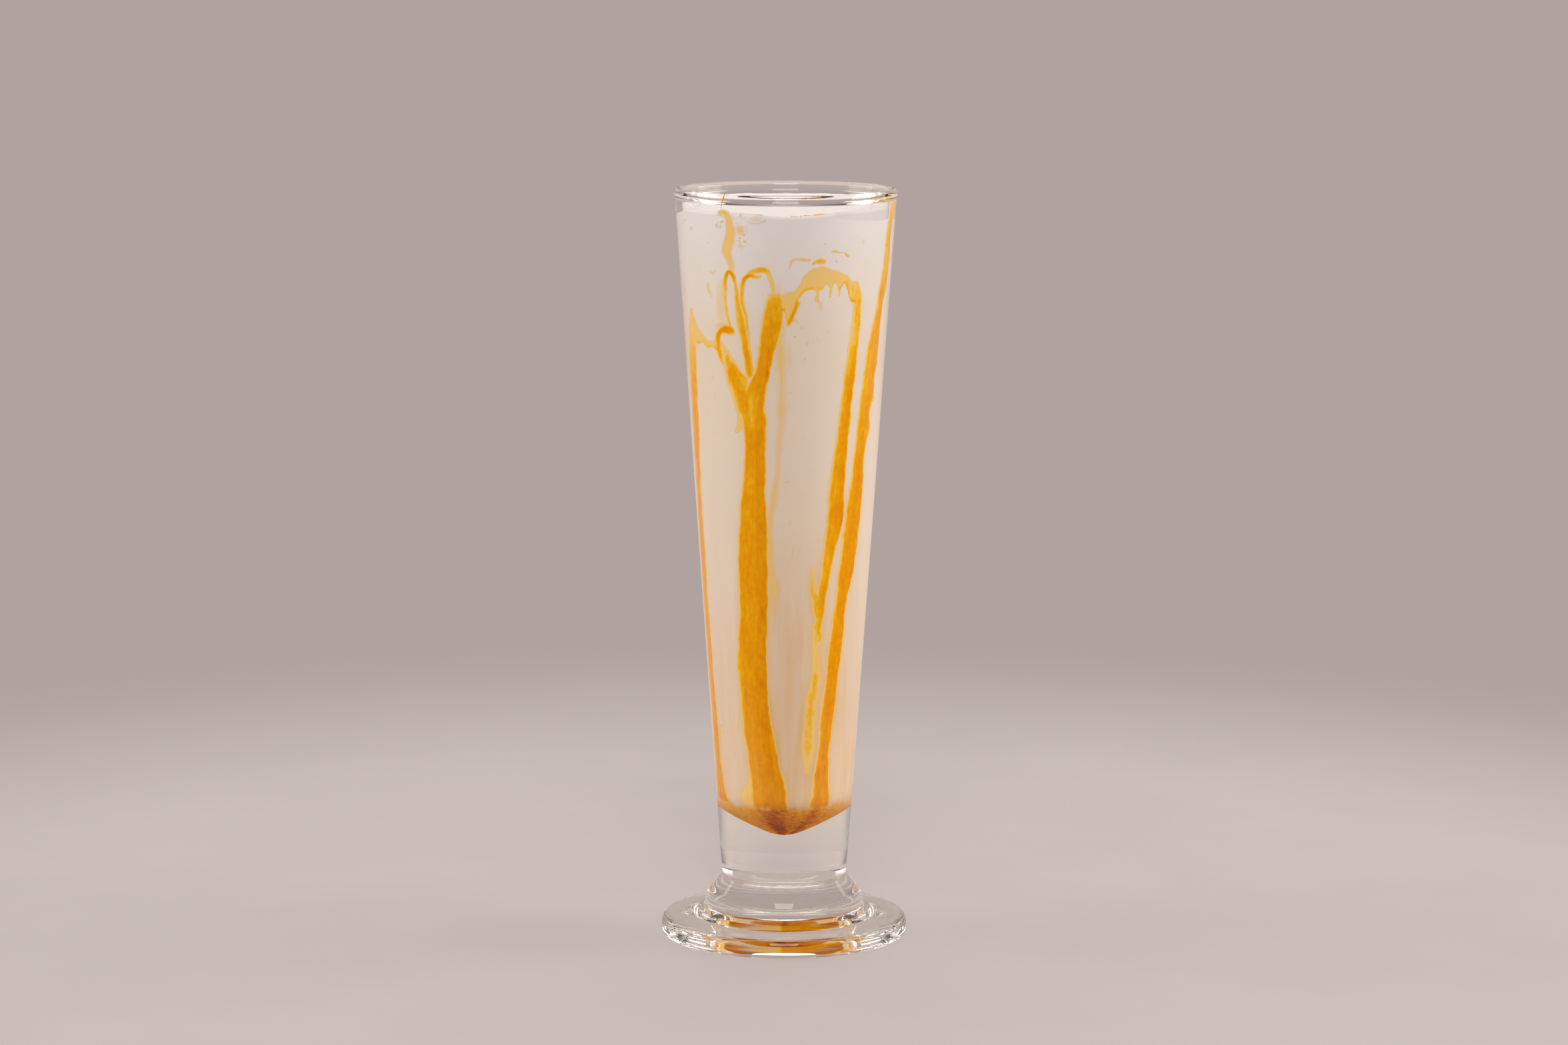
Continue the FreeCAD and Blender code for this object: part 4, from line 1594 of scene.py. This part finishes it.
@dataclass(frozen=True)
class Drink:
    """The milkshake's body with its surface, and the pool under it."""

    level: float = 233.3
    reach: float = 0.1
    pool_top: float = 44.0
    steps: int = 360
    wall_rows: int = 180
    film_rows: int = 10
    surface_rows: int = 60
    film_start: float = 0.12
    film_width: float = 1.9
    film_fall: float = 2.2
    surface_relief: float = 0.09
    shore_ripple: float = 0.12
    surface_stain: float = 0.15
    climb: float = 8.0
    joint_drop: float = 2.0
    pool_gap: float = 0.35
    gap_reach: float = 3.0
    pool_press: float = 0.13
    press_reach: float = 2.0
    point_press: float = 0.01
    pool_dip: float = 0.05
    dip_reach: float = 0.9
    pool_lid: tuple[tuple[float, float], ...] = ((0.8, 0.2), (6.0, 3.0))
    pool_lid_drop: float = 4.0
    pool_dark: float = 0.25
    pool_deep: tuple[float, float] = (35, 42)
    pool_rows: int = 100
    pool_crowding: float = 1.4
    pool_fringe: float = 2.6
    ragged: float = 1.1
    ragged_row: int = 3
    cover_fade: tuple[float, float] = (-2.0, 1.4)
    pool_tones: tuple[tuple[float, float], ...] = (
        (-100, 0.28), (-66, 0.22), (-32, 0.34), (-20, 0.66), (-4, 0.68), (6, 0.48), (20, 0.4),
        (32, 0.62), (45, 0.4), (70, 0.24), (110, 0.3), (160, 0.6), (190, 0.5), (230, 0.3), (260, 0.28),
    )
    shore: tuple[tuple[float, float], ...] = (
        (-100, 235.3), (-80, 234.8), (-50, 234.4), (-35, 234.4), (-20, 234.2), (-6, 233.6),
        (5, 233.5), (18, 234.0), (30, 234.7), (55, 235.2), (80, 235.4), (110, 235.9), (150, 236.1),
        (185, 235.9), (220, 236.1), (260, 235.3),
    )

    def shore_height(self, azimuth: np.ndarray) -> np.ndarray:
        """Height at which the drink meets the wall: smooth through the shore's knots, a little rippled.

        Args:
            azimuth: Azimuths in degrees.

        Returns:
            The height at each.
        """
        knots = np.array(self.shore, float)
        ripple = self.shore_ripple * Ripple(seed=81).layered(azimuth / RELIEF_TURN, azimuth * 0)
        return curve(azimuth, *knots.T) + ripple

    def places(self, rings: np.ndarray) -> tuple[np.ndarray, np.ndarray]:
        """Azimuth and height of every vertex of a turned piece, azimuths counted from the seam.

        Args:
            rings: Radius and height of each ring.

        Returns:
            Azimuth and height, a row for each ring.
        """
        azimuth = np.arange(self.steps) * 360 / self.steps
        azimuth = np.where(azimuth > Caramel.SEAM + 360, azimuth - 360, azimuth)
        return np.meshgrid(azimuth, rings[:, 1])

    def build_body(self, caramel: Caramel, finish: bpy.types.Material) -> bpy.types.Object:
        """Makes the body: it fills the bowl and reaches just into the wall, so that no air gap shows.

        Args:
            caramel: The syrup, whose halos tint the body.
            finish: The milk's material.

        Returns:
            The new object.
        """
        glass = caramel.glass
        bowl = glass.bowl()
        joint = self.pool_top - self.joint_drop
        below = bowl[bowl[:, 1] < joint].copy()
        below[:, 0] -= self.pool_gap * ease(0, self.gap_reach, below[:, 0])
        below[:, 1] += self.pool_gap
        heights = np.linspace(joint, self.level, self.wall_rows)
        wall = np.stack([glass.bowl_radius(heights) + self.reach, heights], -1)
        edge = wall[-1, 0]
        inward = np.linspace(0, 1, self.film_rows)
        across = edge - self.film_start - self.film_width * inward
        film = np.stack([across, np.full_like(inward, self.level)], -1)
        spread = np.linspace(1, 0, self.surface_rows)[1:] * (edge - self.film_start - self.film_width)
        surface = np.stack([spread, np.full_like(spread, self.level)], -1)
        section = np.vstack([below, wall, film, surface])
        rings = section[1:-1]
        azimuth, height = self.places(rings)
        # near the top the wall rings stretch up to the shore; inwards of it the film falls to the level
        climb = ease(self.level - self.climb, self.level, height)
        first = len(below) + len(wall) - 1
        ring = np.arange(len(rings))[:, None] - first
        fall = np.clip(1 - ring / (len(film) - 1), 0, 1) ** self.film_fall
        angle, middle = np.radians(azimuth), Ripple.CELLS
        x, y = rings[:, :1] * np.sin(angle) + middle, rings[:, :1] * np.cos(angle) + middle
        froth = self.surface_relief * Ripple(seed=82).layered(x, y)
        lift = climb * np.where(ring < 0, 1.0, fall) * (self.shore_height(azimuth) - self.level)
        lift = lift + np.where(ring > 0, froth * (1 - fall), 0.0)
        tint = caramel.tint(azimuth, height)
        tint["stain_and_shade"][first:] *= self.surface_stain
        piece = turned("milkshake_body", section, self.steps, tint, lift)
        piece.data.materials.append(finish)
        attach(piece, "root")
        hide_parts("milkshake")
        return piece

    def build_pool(self, caramel: Caramel, finish: bpy.types.Material) -> bpy.types.Object:
        """Makes the pool: the bowl's point up to a ragged edge on the wall, where it melts into the milk.

        Args:
            caramel: The syrup, which runs down into the pool.
            finish: The pool's material.

        Returns:
            The new object.
        """
        glass = caramel.glass
        top = self.pool_top + self.pool_fringe
        share = np.linspace(0, 1, self.pool_rows) ** self.pool_crowding
        heights = glass.well_height + (top - glass.well_height) * share
        radius = glass.bowl_radius(heights)
        dip = self.pool_dip * ease(top - self.dip_reach, top, heights)
        pressed = radius + self.pool_press * ease(0, self.press_reach, radius) - dip
        outside = np.stack([pressed, heights], -1)
        outside[0] = (0, glass.well_height - self.pool_press - self.point_press)
        lid = [(radius[-1] - inward, top - drop) for inward, drop in self.pool_lid]
        section = np.vstack([outside, lid, [(0, top - self.pool_lid_drop)]])
        azimuth, height = self.places(section[1:-1])
        order = np.argsort(azimuth[0])
        rising = np.argsort(height[:, 0])[::-1]
        depth = np.zeros_like(height)
        depth[np.ix_(rising, order)] = caramel.depth(Wall(glass, azimuth[0, order], height[rising, 0]))
        relief = Ripple(seed=71).layered(azimuth / RELIEF_TURN, azimuth * 0 + self.ragged_row)
        line = self.pool_top + self.ragged * relief
        tones = np.array(self.pool_tones, float)
        attributes = {
            "cover": 1 - ease(*self.cover_fade, height - line),
            "shade": curve(azimuth, *tones.T) + self.pool_dark * (1 - ease(*self.pool_deep, height)),
            "depth": depth,
            **caramel.tint(azimuth, height),
        }
        piece = turned("caramel_pool", section, self.steps, attributes)
        piece.data.materials.append(finish)
        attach(piece, "root")
        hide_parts("caramel")
        return piece


@dataclass(frozen=True)
class Thread:
    """A thin strand or a flat blob of syrup on the drink's surface.

    It is a tube along a line whose knots are azimuth, distance inside the wall, height, half width and
    half height; both ends close to a point.
    """

    line: tuple[tuple[float, float, float, float, float], ...]
    sides: int = 12
    step: float = 0.25
    fewest: int = 12
    tip: float = 1e-3
    least_step: float = 0.01
    narrowest: float = 0.05

    def mesh(self, glass: Glass) -> tuple[np.ndarray, np.ndarray]:
        """Points and quads of the tube: rings whose size follows the root of the way from the nearer end.

        Args:
            glass: The glass, for the wall's radius.

        Returns:
            Points in millimetres, and four indices for each face.
        """
        knots = np.array(self.line, float)
        radius = glass.bore_radius(knots[:, 2]) - knots[:, 1]
        aside = np.abs(np.diff(np.radians(knots[:, 0]) * radius)) + self.least_step
        steps = np.concatenate([[0], np.cumsum(aside)])
        steps += np.concatenate([[0], np.cumsum(np.abs(np.diff(knots[:, 2])))])
        count = max(self.fewest, int(steps[-1] / self.step))
        along = np.linspace(0, steps[-1], count)
        azimuth, r, z, wide, tall = (curve(along, steps, v) for v in (knots[:, 0], radius, *knots[:, 2:].T))
        end = np.minimum(along, steps[-1] - along) / np.maximum(wide, self.narrowest)
        swell = np.sqrt(1 - (1 - np.clip(end, 0, 1)) ** 2) + self.tip
        turn = np.arange(self.sides) * 2 * np.pi / self.sides
        out = (wide * swell)[:, None] * np.cos(turn)
        up = (tall * swell)[:, None] * np.sin(turn)
        points = round_axis(r[:, None] + out, np.radians(azimuth)[:, None], z[:, None] + up)
        return points, grid_quads(count, self.sides, True)


@dataclass(frozen=True)
class Topping:
    """Syrup that lies on the drink's surface and on the rim."""

    threads: tuple[Thread, ...] = (
        Thread((
            (7, 1.6, 233.5, 0.3, 0.12), (10, 1.3, 233.6, 0.75, 0.3), (13, 1.3, 233.6, 0.6, 0.25),
            (15.5, 1.3, 233.6, 0.3, 0.15),
        )),
        Thread((
            (14.5, 1.5, 233.6, 0.4, 0.2), (18, 1.4, 233.8, 0.9, 0.36), (22, 1.2, 233.9, 0.7, 0.3),
            (25, 1.1, 233.9, 0.3, 0.14),
        )),
        Thread(((2, 1.0, 233.4, 0.12, 0.08), (5, 1.2, 233.45, 0.16, 0.1), (8, 1.5, 233.5, 0.2, 0.1))),
        Thread((
            (124, 0.7, 234.4, 0.1, 0.12), (140, 0.9, 234.3, 0.2, 0.16), (158, 0.9, 234.35, 0.16, 0.14),
            (175, 0.95, 234.2, 0.22, 0.18), (190, 0.9, 234.3, 0.14, 0.12), (208, 0.85, 234.4, 0.2, 0.16),
            (226, 0.8, 234.4, 0.12, 0.12),
        )),
        Thread((
            (-36.5, -0.02, 235.4, 0.1, 0.3), (-36.2, 0.3, 237.2, 0.2, 0.4), (-35.4, 0.75, 238.2, 0.22, 0.4),
            (-34.6, 0.8, 238.9, 0.1, 0.2),
        )),
        Thread(((-33, 0.2, 234.3, 0.12, 0.1), (-24, 0.5, 234.2, 0.16, 0.1), (-12, 0.6, 233.9, 0.1, 0.08))),
    )
    depth: float = 0.72

    def build(self, glass: Glass, finish: bpy.types.Material) -> bpy.types.Object:
        """Makes all the threads as one piece.

        Args:
            glass: The glass.
            finish: The syrup's material.

        Returns:
            The new object.
        """
        points, faces, count = [], [], 0
        for thread in self.threads:
            part, quads = thread.mesh(glass)
            rings = len(part) // thread.sides
            last = (rings - 1) * thread.sides + np.arange(thread.sides)
            points.append(part)
            faces.append(quads + count)
            caps = [np.arange(thread.sides)[::-1], last]
            faces += [cap[None, :] + count for cap in caps]
            count += len(part)
        points = np.concatenate(points)
        nothing = np.zeros(len(points))
        plain = {"depth": nothing + self.depth, "age": nothing, "stain_and_shade": nothing}
        piece = make_piece("caramel_on_top", points, faces, plain)
        piece.data.materials.append(finish)
        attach(piece, "root")
        return piece


@dataclass(frozen=True)
class Froth:
    """Small bubbles on the drink's surface, most of them along the wall."""

    count: int = 170
    seed: int = 91
    sizes: tuple[float, float] = (0.18, 0.55)
    smallness: float = 2.5
    nearest: float = 0.5
    scatter: tuple[float, float] = (1.2, 1.6)
    raised: float = 0.1
    stain_and_shade: float = 0.12
    rings: int = 6
    sides: int = 10
    pole_gap: float = 0.02
    innermost: float = 1.0

    def build(self, drink: Drink, glass: Glass, finish: bpy.types.Material) -> bpy.types.Object:
        """Makes all bubbles as one piece of small spheres, sunk a little past half into the surface.

        Args:
            drink: The drink they float on.
            glass: The glass round it.
            finish: The milk's material.

        Returns:
            The new object.
        """
        random = np.random.default_rng(self.seed)
        azimuth = random.uniform(Caramel.SEAM, Caramel.SEAM + 360, self.count)
        inset = self.nearest + random.gamma(*self.scatter, self.count)
        small, large = self.sizes
        size = small + (large - small) * random.random(self.count) ** self.smallness
        radius = np.clip(glass.bore_radius(drink.level) - inset, self.innermost, None)
        inward = (inset + drink.reach - drink.film_start) / drink.film_width
        fall = np.clip(1 - inward, 0, 1) ** drink.film_fall
        height = drink.level + fall * (drink.shore_height(azimuth) - drink.level) + self.raised * size
        polar = np.linspace(self.pole_gap, np.pi - self.pole_gap, self.rings)
        turn = np.arange(self.sides) * 2 * np.pi / self.sides
        down, around = np.meshgrid(polar, turn, indexing="ij")
        ball = np.stack([np.sin(down) * np.cos(around), np.sin(down) * np.sin(around), -np.cos(down)], -1)
        ball = ball.reshape(-1, 3)
        quads = grid_quads(self.rings, self.sides, True)
        centres = round_axis(radius, np.radians(azimuth), height)
        points = (centres[:, None] + size[:, None, None] * ball).reshape(-1, 3)
        shift = np.arange(self.count)[:, None, None] * len(ball)
        last = np.arange(self.sides) + (self.rings - 1) * self.sides
        caps = np.stack([np.arange(self.sides)[::-1], last])
        faces = [(quads + shift).reshape(-1, 4), (caps + shift).reshape(-1, self.sides)]
        plain = {"age": np.zeros(len(points)), "stain_and_shade": np.full(len(points), self.stain_and_shade)}
        piece = make_piece("froth_bubbles", points, faces, plain)
        piece.data.materials.append(finish)
        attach(piece, "root")
        return piece


# ---- floor, lamps and camera ------------------------------------------------------------------


@dataclass(frozen=True)
class Lamp:
    """A soft rectangular lamp that points at the glass, and may leave a mirrored patch in it."""

    name: str
    place: tuple[float, float, float]
    width: float
    tallness: float
    power: float
    colour: tuple[float, float, float] = (1.0, 1.0, 1.0)
    mirrored: bool = True
    aim: tuple[float, float, float] = (0.0, 0.0, 0.12)

    def build(self) -> bpy.types.Object:
        """Adds the lamp.

        Returns:
            The new object.
        """
        light = bpy.data.lights.new(self.name, "AREA")
        light.shape = "RECTANGLE"
        light.energy, light.color = self.power, self.colour
        light.size, light.size_y = self.width, self.tallness
        lamp = bpy.data.objects.new(self.name, light)
        toward = np.array(self.aim) - np.array(self.place)
        lamp.location = self.place
        lamp.rotation_mode = "QUATERNION"
        lamp.rotation_quaternion = Vector(toward).to_track_quat("-Z", "Y")
        lamp.visible_glossy = self.mirrored
        bpy.context.scene.collection.objects.link(lamp)
        return lamp


@dataclass(frozen=True)
class Studio:
    """Plain pale floor that melts into an even backdrop, soft lamps and the camera."""

    floor_colour: tuple = linear(175, 165, 162)
    backdrop_colour: tuple = linear(176, 163, 159)
    floor_gap: float = 0.05
    fade: tuple[float, float] = (0.24, 0.55)
    fill: float = 0.66
    fill_colour: tuple = (1.0, 0.985, 0.97, 1.0)
    reach: float = 6000.0
    mottle: float = 0.93
    turns: int = 28
    # colour of the painted bright glow that the floor shows only in reflections
    bright_colour: tuple = linear(216, 199, 188)
    # dark colour of the painted reflections in front of the glass and to its sides
    dark_reflection_colour: tuple = (0.05, 0.048, 0.046, 1.0)
    bright_start: tuple[float, float] = (0.14, 0.34)
    bright_fade: tuple[float, float] = (0.8, 1.6)
    dark_reflection_spread: tuple[float, float] = (0.2, 0.75)
    # how far in front of the glass the painted dark reflection sets in
    dark_reflection_fade: tuple[float, float] = (0.11, 0.2)
    camera_place: tuple[float, float, float] = (-0.00031, -1.37106, 0.33768)
    camera_pitch: float = math.radians(8.4823)
    camera_roll: float = math.radians(0.1462)
    lens: float = 99.72
    sensor: float = 36.0
    clip: tuple[float, float] = (0.05, 40.0)
    lamps: tuple[Lamp, ...] = (
        Lamp("lamp_left", (-1.4, 0.05, 0.7), 1.0, 1.0, 11.4, (1.0, 0.975, 0.95), False),
        Lamp("lamp_right", (1.4, 0.1, 0.7), 1.0, 1.0, 14.7, (1.0, 0.985, 0.98), False),
        Lamp("lamp_front", (0.0, -1.5, 1.3), 0.8, 1.2, 12.3),
        Lamp("lamp_top", (0.0, 0.55, 1.6), 1.2, 1.2, 6.0, (1.0, 1.0, 1.0), False),
        Lamp("strip_left", (-1.25, 0.7, 0.5), 0.14, 0.9, 0.6),
        Lamp("strip_right", (1.25, 0.75, 0.5), 0.14, 0.9, 0.6),
    )

    def build(self) -> None:
        """Builds all of it."""
        self._floor()
        for lamp in self.lamps:
            lamp.build()
        self._world()
        self._camera()
        self._light_paths()

    def _light_paths(self) -> None:
        """Lets light turn often enough inside the thick foot, which would go black too early otherwise."""
        paths = bpy.context.scene.cycles
        paths.max_bounces = self.turns
        paths.glossy_bounces = self.turns
        paths.transmission_bounces = self.turns

    def _floor(self) -> None:
        """A wide flat floor, a hair under the foot, whose colour turns into the backdrop's with distance.

        In what the glass mirrors it shows painted reflections: dark close in front of the glass and to its
        sides, and behind it a bright glow that the floor gives off though it is no lamp.
        """
        corners = self.reach * np.array([[-1, -1], [1, -1], [1, 1], [-1, 1]])
        points = np.column_stack([corners, np.full(4, -self.floor_gap)])
        floor = make_piece("floor", points, [np.array([[0, 1, 2, 3]])])
        material, nodes = new_material("floor")
        darker = (*(self.mottle * c for c in self.floor_colour[:3]), 1.0)
        colour = nodes.mixed(nodes.noise(scale=0.02, detail=5.0), darker, self.floor_colour)
        plain = nodes.add("ShaderNodeBsdfDiffuse", inputs={"Color": colour})
        place = nodes.add("ShaderNodeTexCoord", output="Object")
        distance = nodes.add("ShaderNodeVectorMath", {"operation": "LENGTH"}, {0: place}, "Value")
        # painted reflection: to glossy rays the floor near the glass glows bright, though it is no lamp
        mirrored = nodes.ray("Glossy")
        near = mirrored * (1.0 - distance.risen(*self.bright_fade))
        glow_colour = nodes.mixed(near, self.backdrop_colour, self.bright_colour)
        glow = nodes.add("ShaderNodeEmission", inputs={"Color": glow_colour, "Strength": 1.0})
        share = distance.risen(*self.fade).larger(mirrored * distance.risen(*self.bright_start))
        seen = nodes.blended(share, plain, glow)
        back = nodes.add("ShaderNodeSeparateXYZ", inputs={0: place}, output="Y")
        # painted dark reflection: to glossy rays the floor in front of the glass and to its sides turns
        # dark
        ahead = (0.0 - back).risen(*self.dark_reflection_fade)
        around = share * (1.0 - (back / distance).risen(*self.dark_reflection_spread))
        dark_reflection = nodes.add("ShaderNodeBsdfDiffuse", inputs={"Color": self.dark_reflection_colour})
        dark = ahead.larger(around) * mirrored
        nodes.finish(nodes.blended(dark, seen, dark_reflection))
        floor.data.materials.append(material)

    def _world(self) -> None:
        """The backdrop where it is seen directly, with a painted dark reflection towards the front and
        sides where it is mirrored or seen through glass; soft fill light elsewhere.
        """
        world = bpy.data.worlds.new("studio")
        nodes = Nodes(world)
        place = nodes.add("ShaderNodeTexCoord", output="Object")
        behind = nodes.add("ShaderNodeSeparateXYZ", inputs={0: place}, output="Y")
        direct = nodes.ray("Camera")
        # painted dark reflection: mirrored and refracted rays see the backdrop behind, but dark towards the
        # front and sides, while the fill light stays even
        behind = behind.risen(*self.dark_reflection_spread).larger(direct)
        mirrored = nodes.mixed(behind, self.dark_reflection_colour, self.backdrop_colour)
        seen = nodes.add("ShaderNodeBackground", inputs={"Color": mirrored, "Strength": 1.0})
        inputs = {"Color": self.fill_colour, "Strength": self.fill}
        fill = nodes.add("ShaderNodeBackground", inputs=inputs)
        share = direct.larger(nodes.ray("Glossy")).larger(nodes.ray("Transmission"))
        nodes.add("ShaderNodeOutputWorld", inputs={"Surface": nodes.blended(share, fill, seen)})
        bpy.context.scene.world = world

    def _camera(self) -> None:
        """A long lens, level with the upper part of the glass and looking slightly down."""
        data = bpy.data.cameras.new("camera")
        data.lens, data.sensor_width = self.lens, self.sensor
        data.clip_start, data.clip_end = self.clip
        camera = bpy.data.objects.new("camera", data)
        camera.matrix_world = (
            Matrix.Translation(self.camera_place)
            @ Matrix.Rotation(math.pi / 2 - self.camera_pitch, 4, "X")
            @ Matrix.Rotation(self.camera_roll, 4, "Z")
        )
        bpy.context.scene.collection.objects.link(camera)
        bpy.context.scene.camera = camera


def main() -> None:
    """Builds the glass, the drink, the syrup and the studio, in that order."""
    logging.basicConfig(level=logging.INFO, format="%(name)s: %(message)s")
    _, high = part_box("glass")
    glass = Glass(height=high.z / MM, foot_radius=high.x / MM)
    LOG.info("glass %.1f mm tall, foot radius %.2f mm", glass.height, glass.foot_radius)
    glass.build()
    runs = MAIN_RUN + FORK + LEFT_RUN + ARCH + RIGHT_RUN + FAR_RIGHT_RUN
    front = runs + MIDDLE_STREAK + TOP_COLUMN + LEFT_SPECKS + SPECKS
    behind = far_side(MAIN_RUN + FORK, shift=150, drop=14)
    behind += far_side(RIGHT_RUN + ARCH, shift=150, drop=22)
    behind += far_side(FAR_RIGHT_RUN, shift=282, drop=30)
    drink = Drink()
    caramel = Caramel(glass, front + behind, drink.level)
    colours = DrinkColours()
    milk = Liquid.MILK.material(colours)
    drink.build_body(caramel, milk)
    Froth().build(drink, glass, milk)
    drink.build_pool(caramel, Liquid.POOL.material(colours))
    syrup = Liquid.SYRUP.material(colours)
    for stretch in STRETCHES:
        stretch.build(caramel, syrup)
    Topping().build(glass, syrup)
    Studio().build()
    bpy.context.scene.view_settings.view_transform = "Standard"


if __name__ == "__main__":
    main()
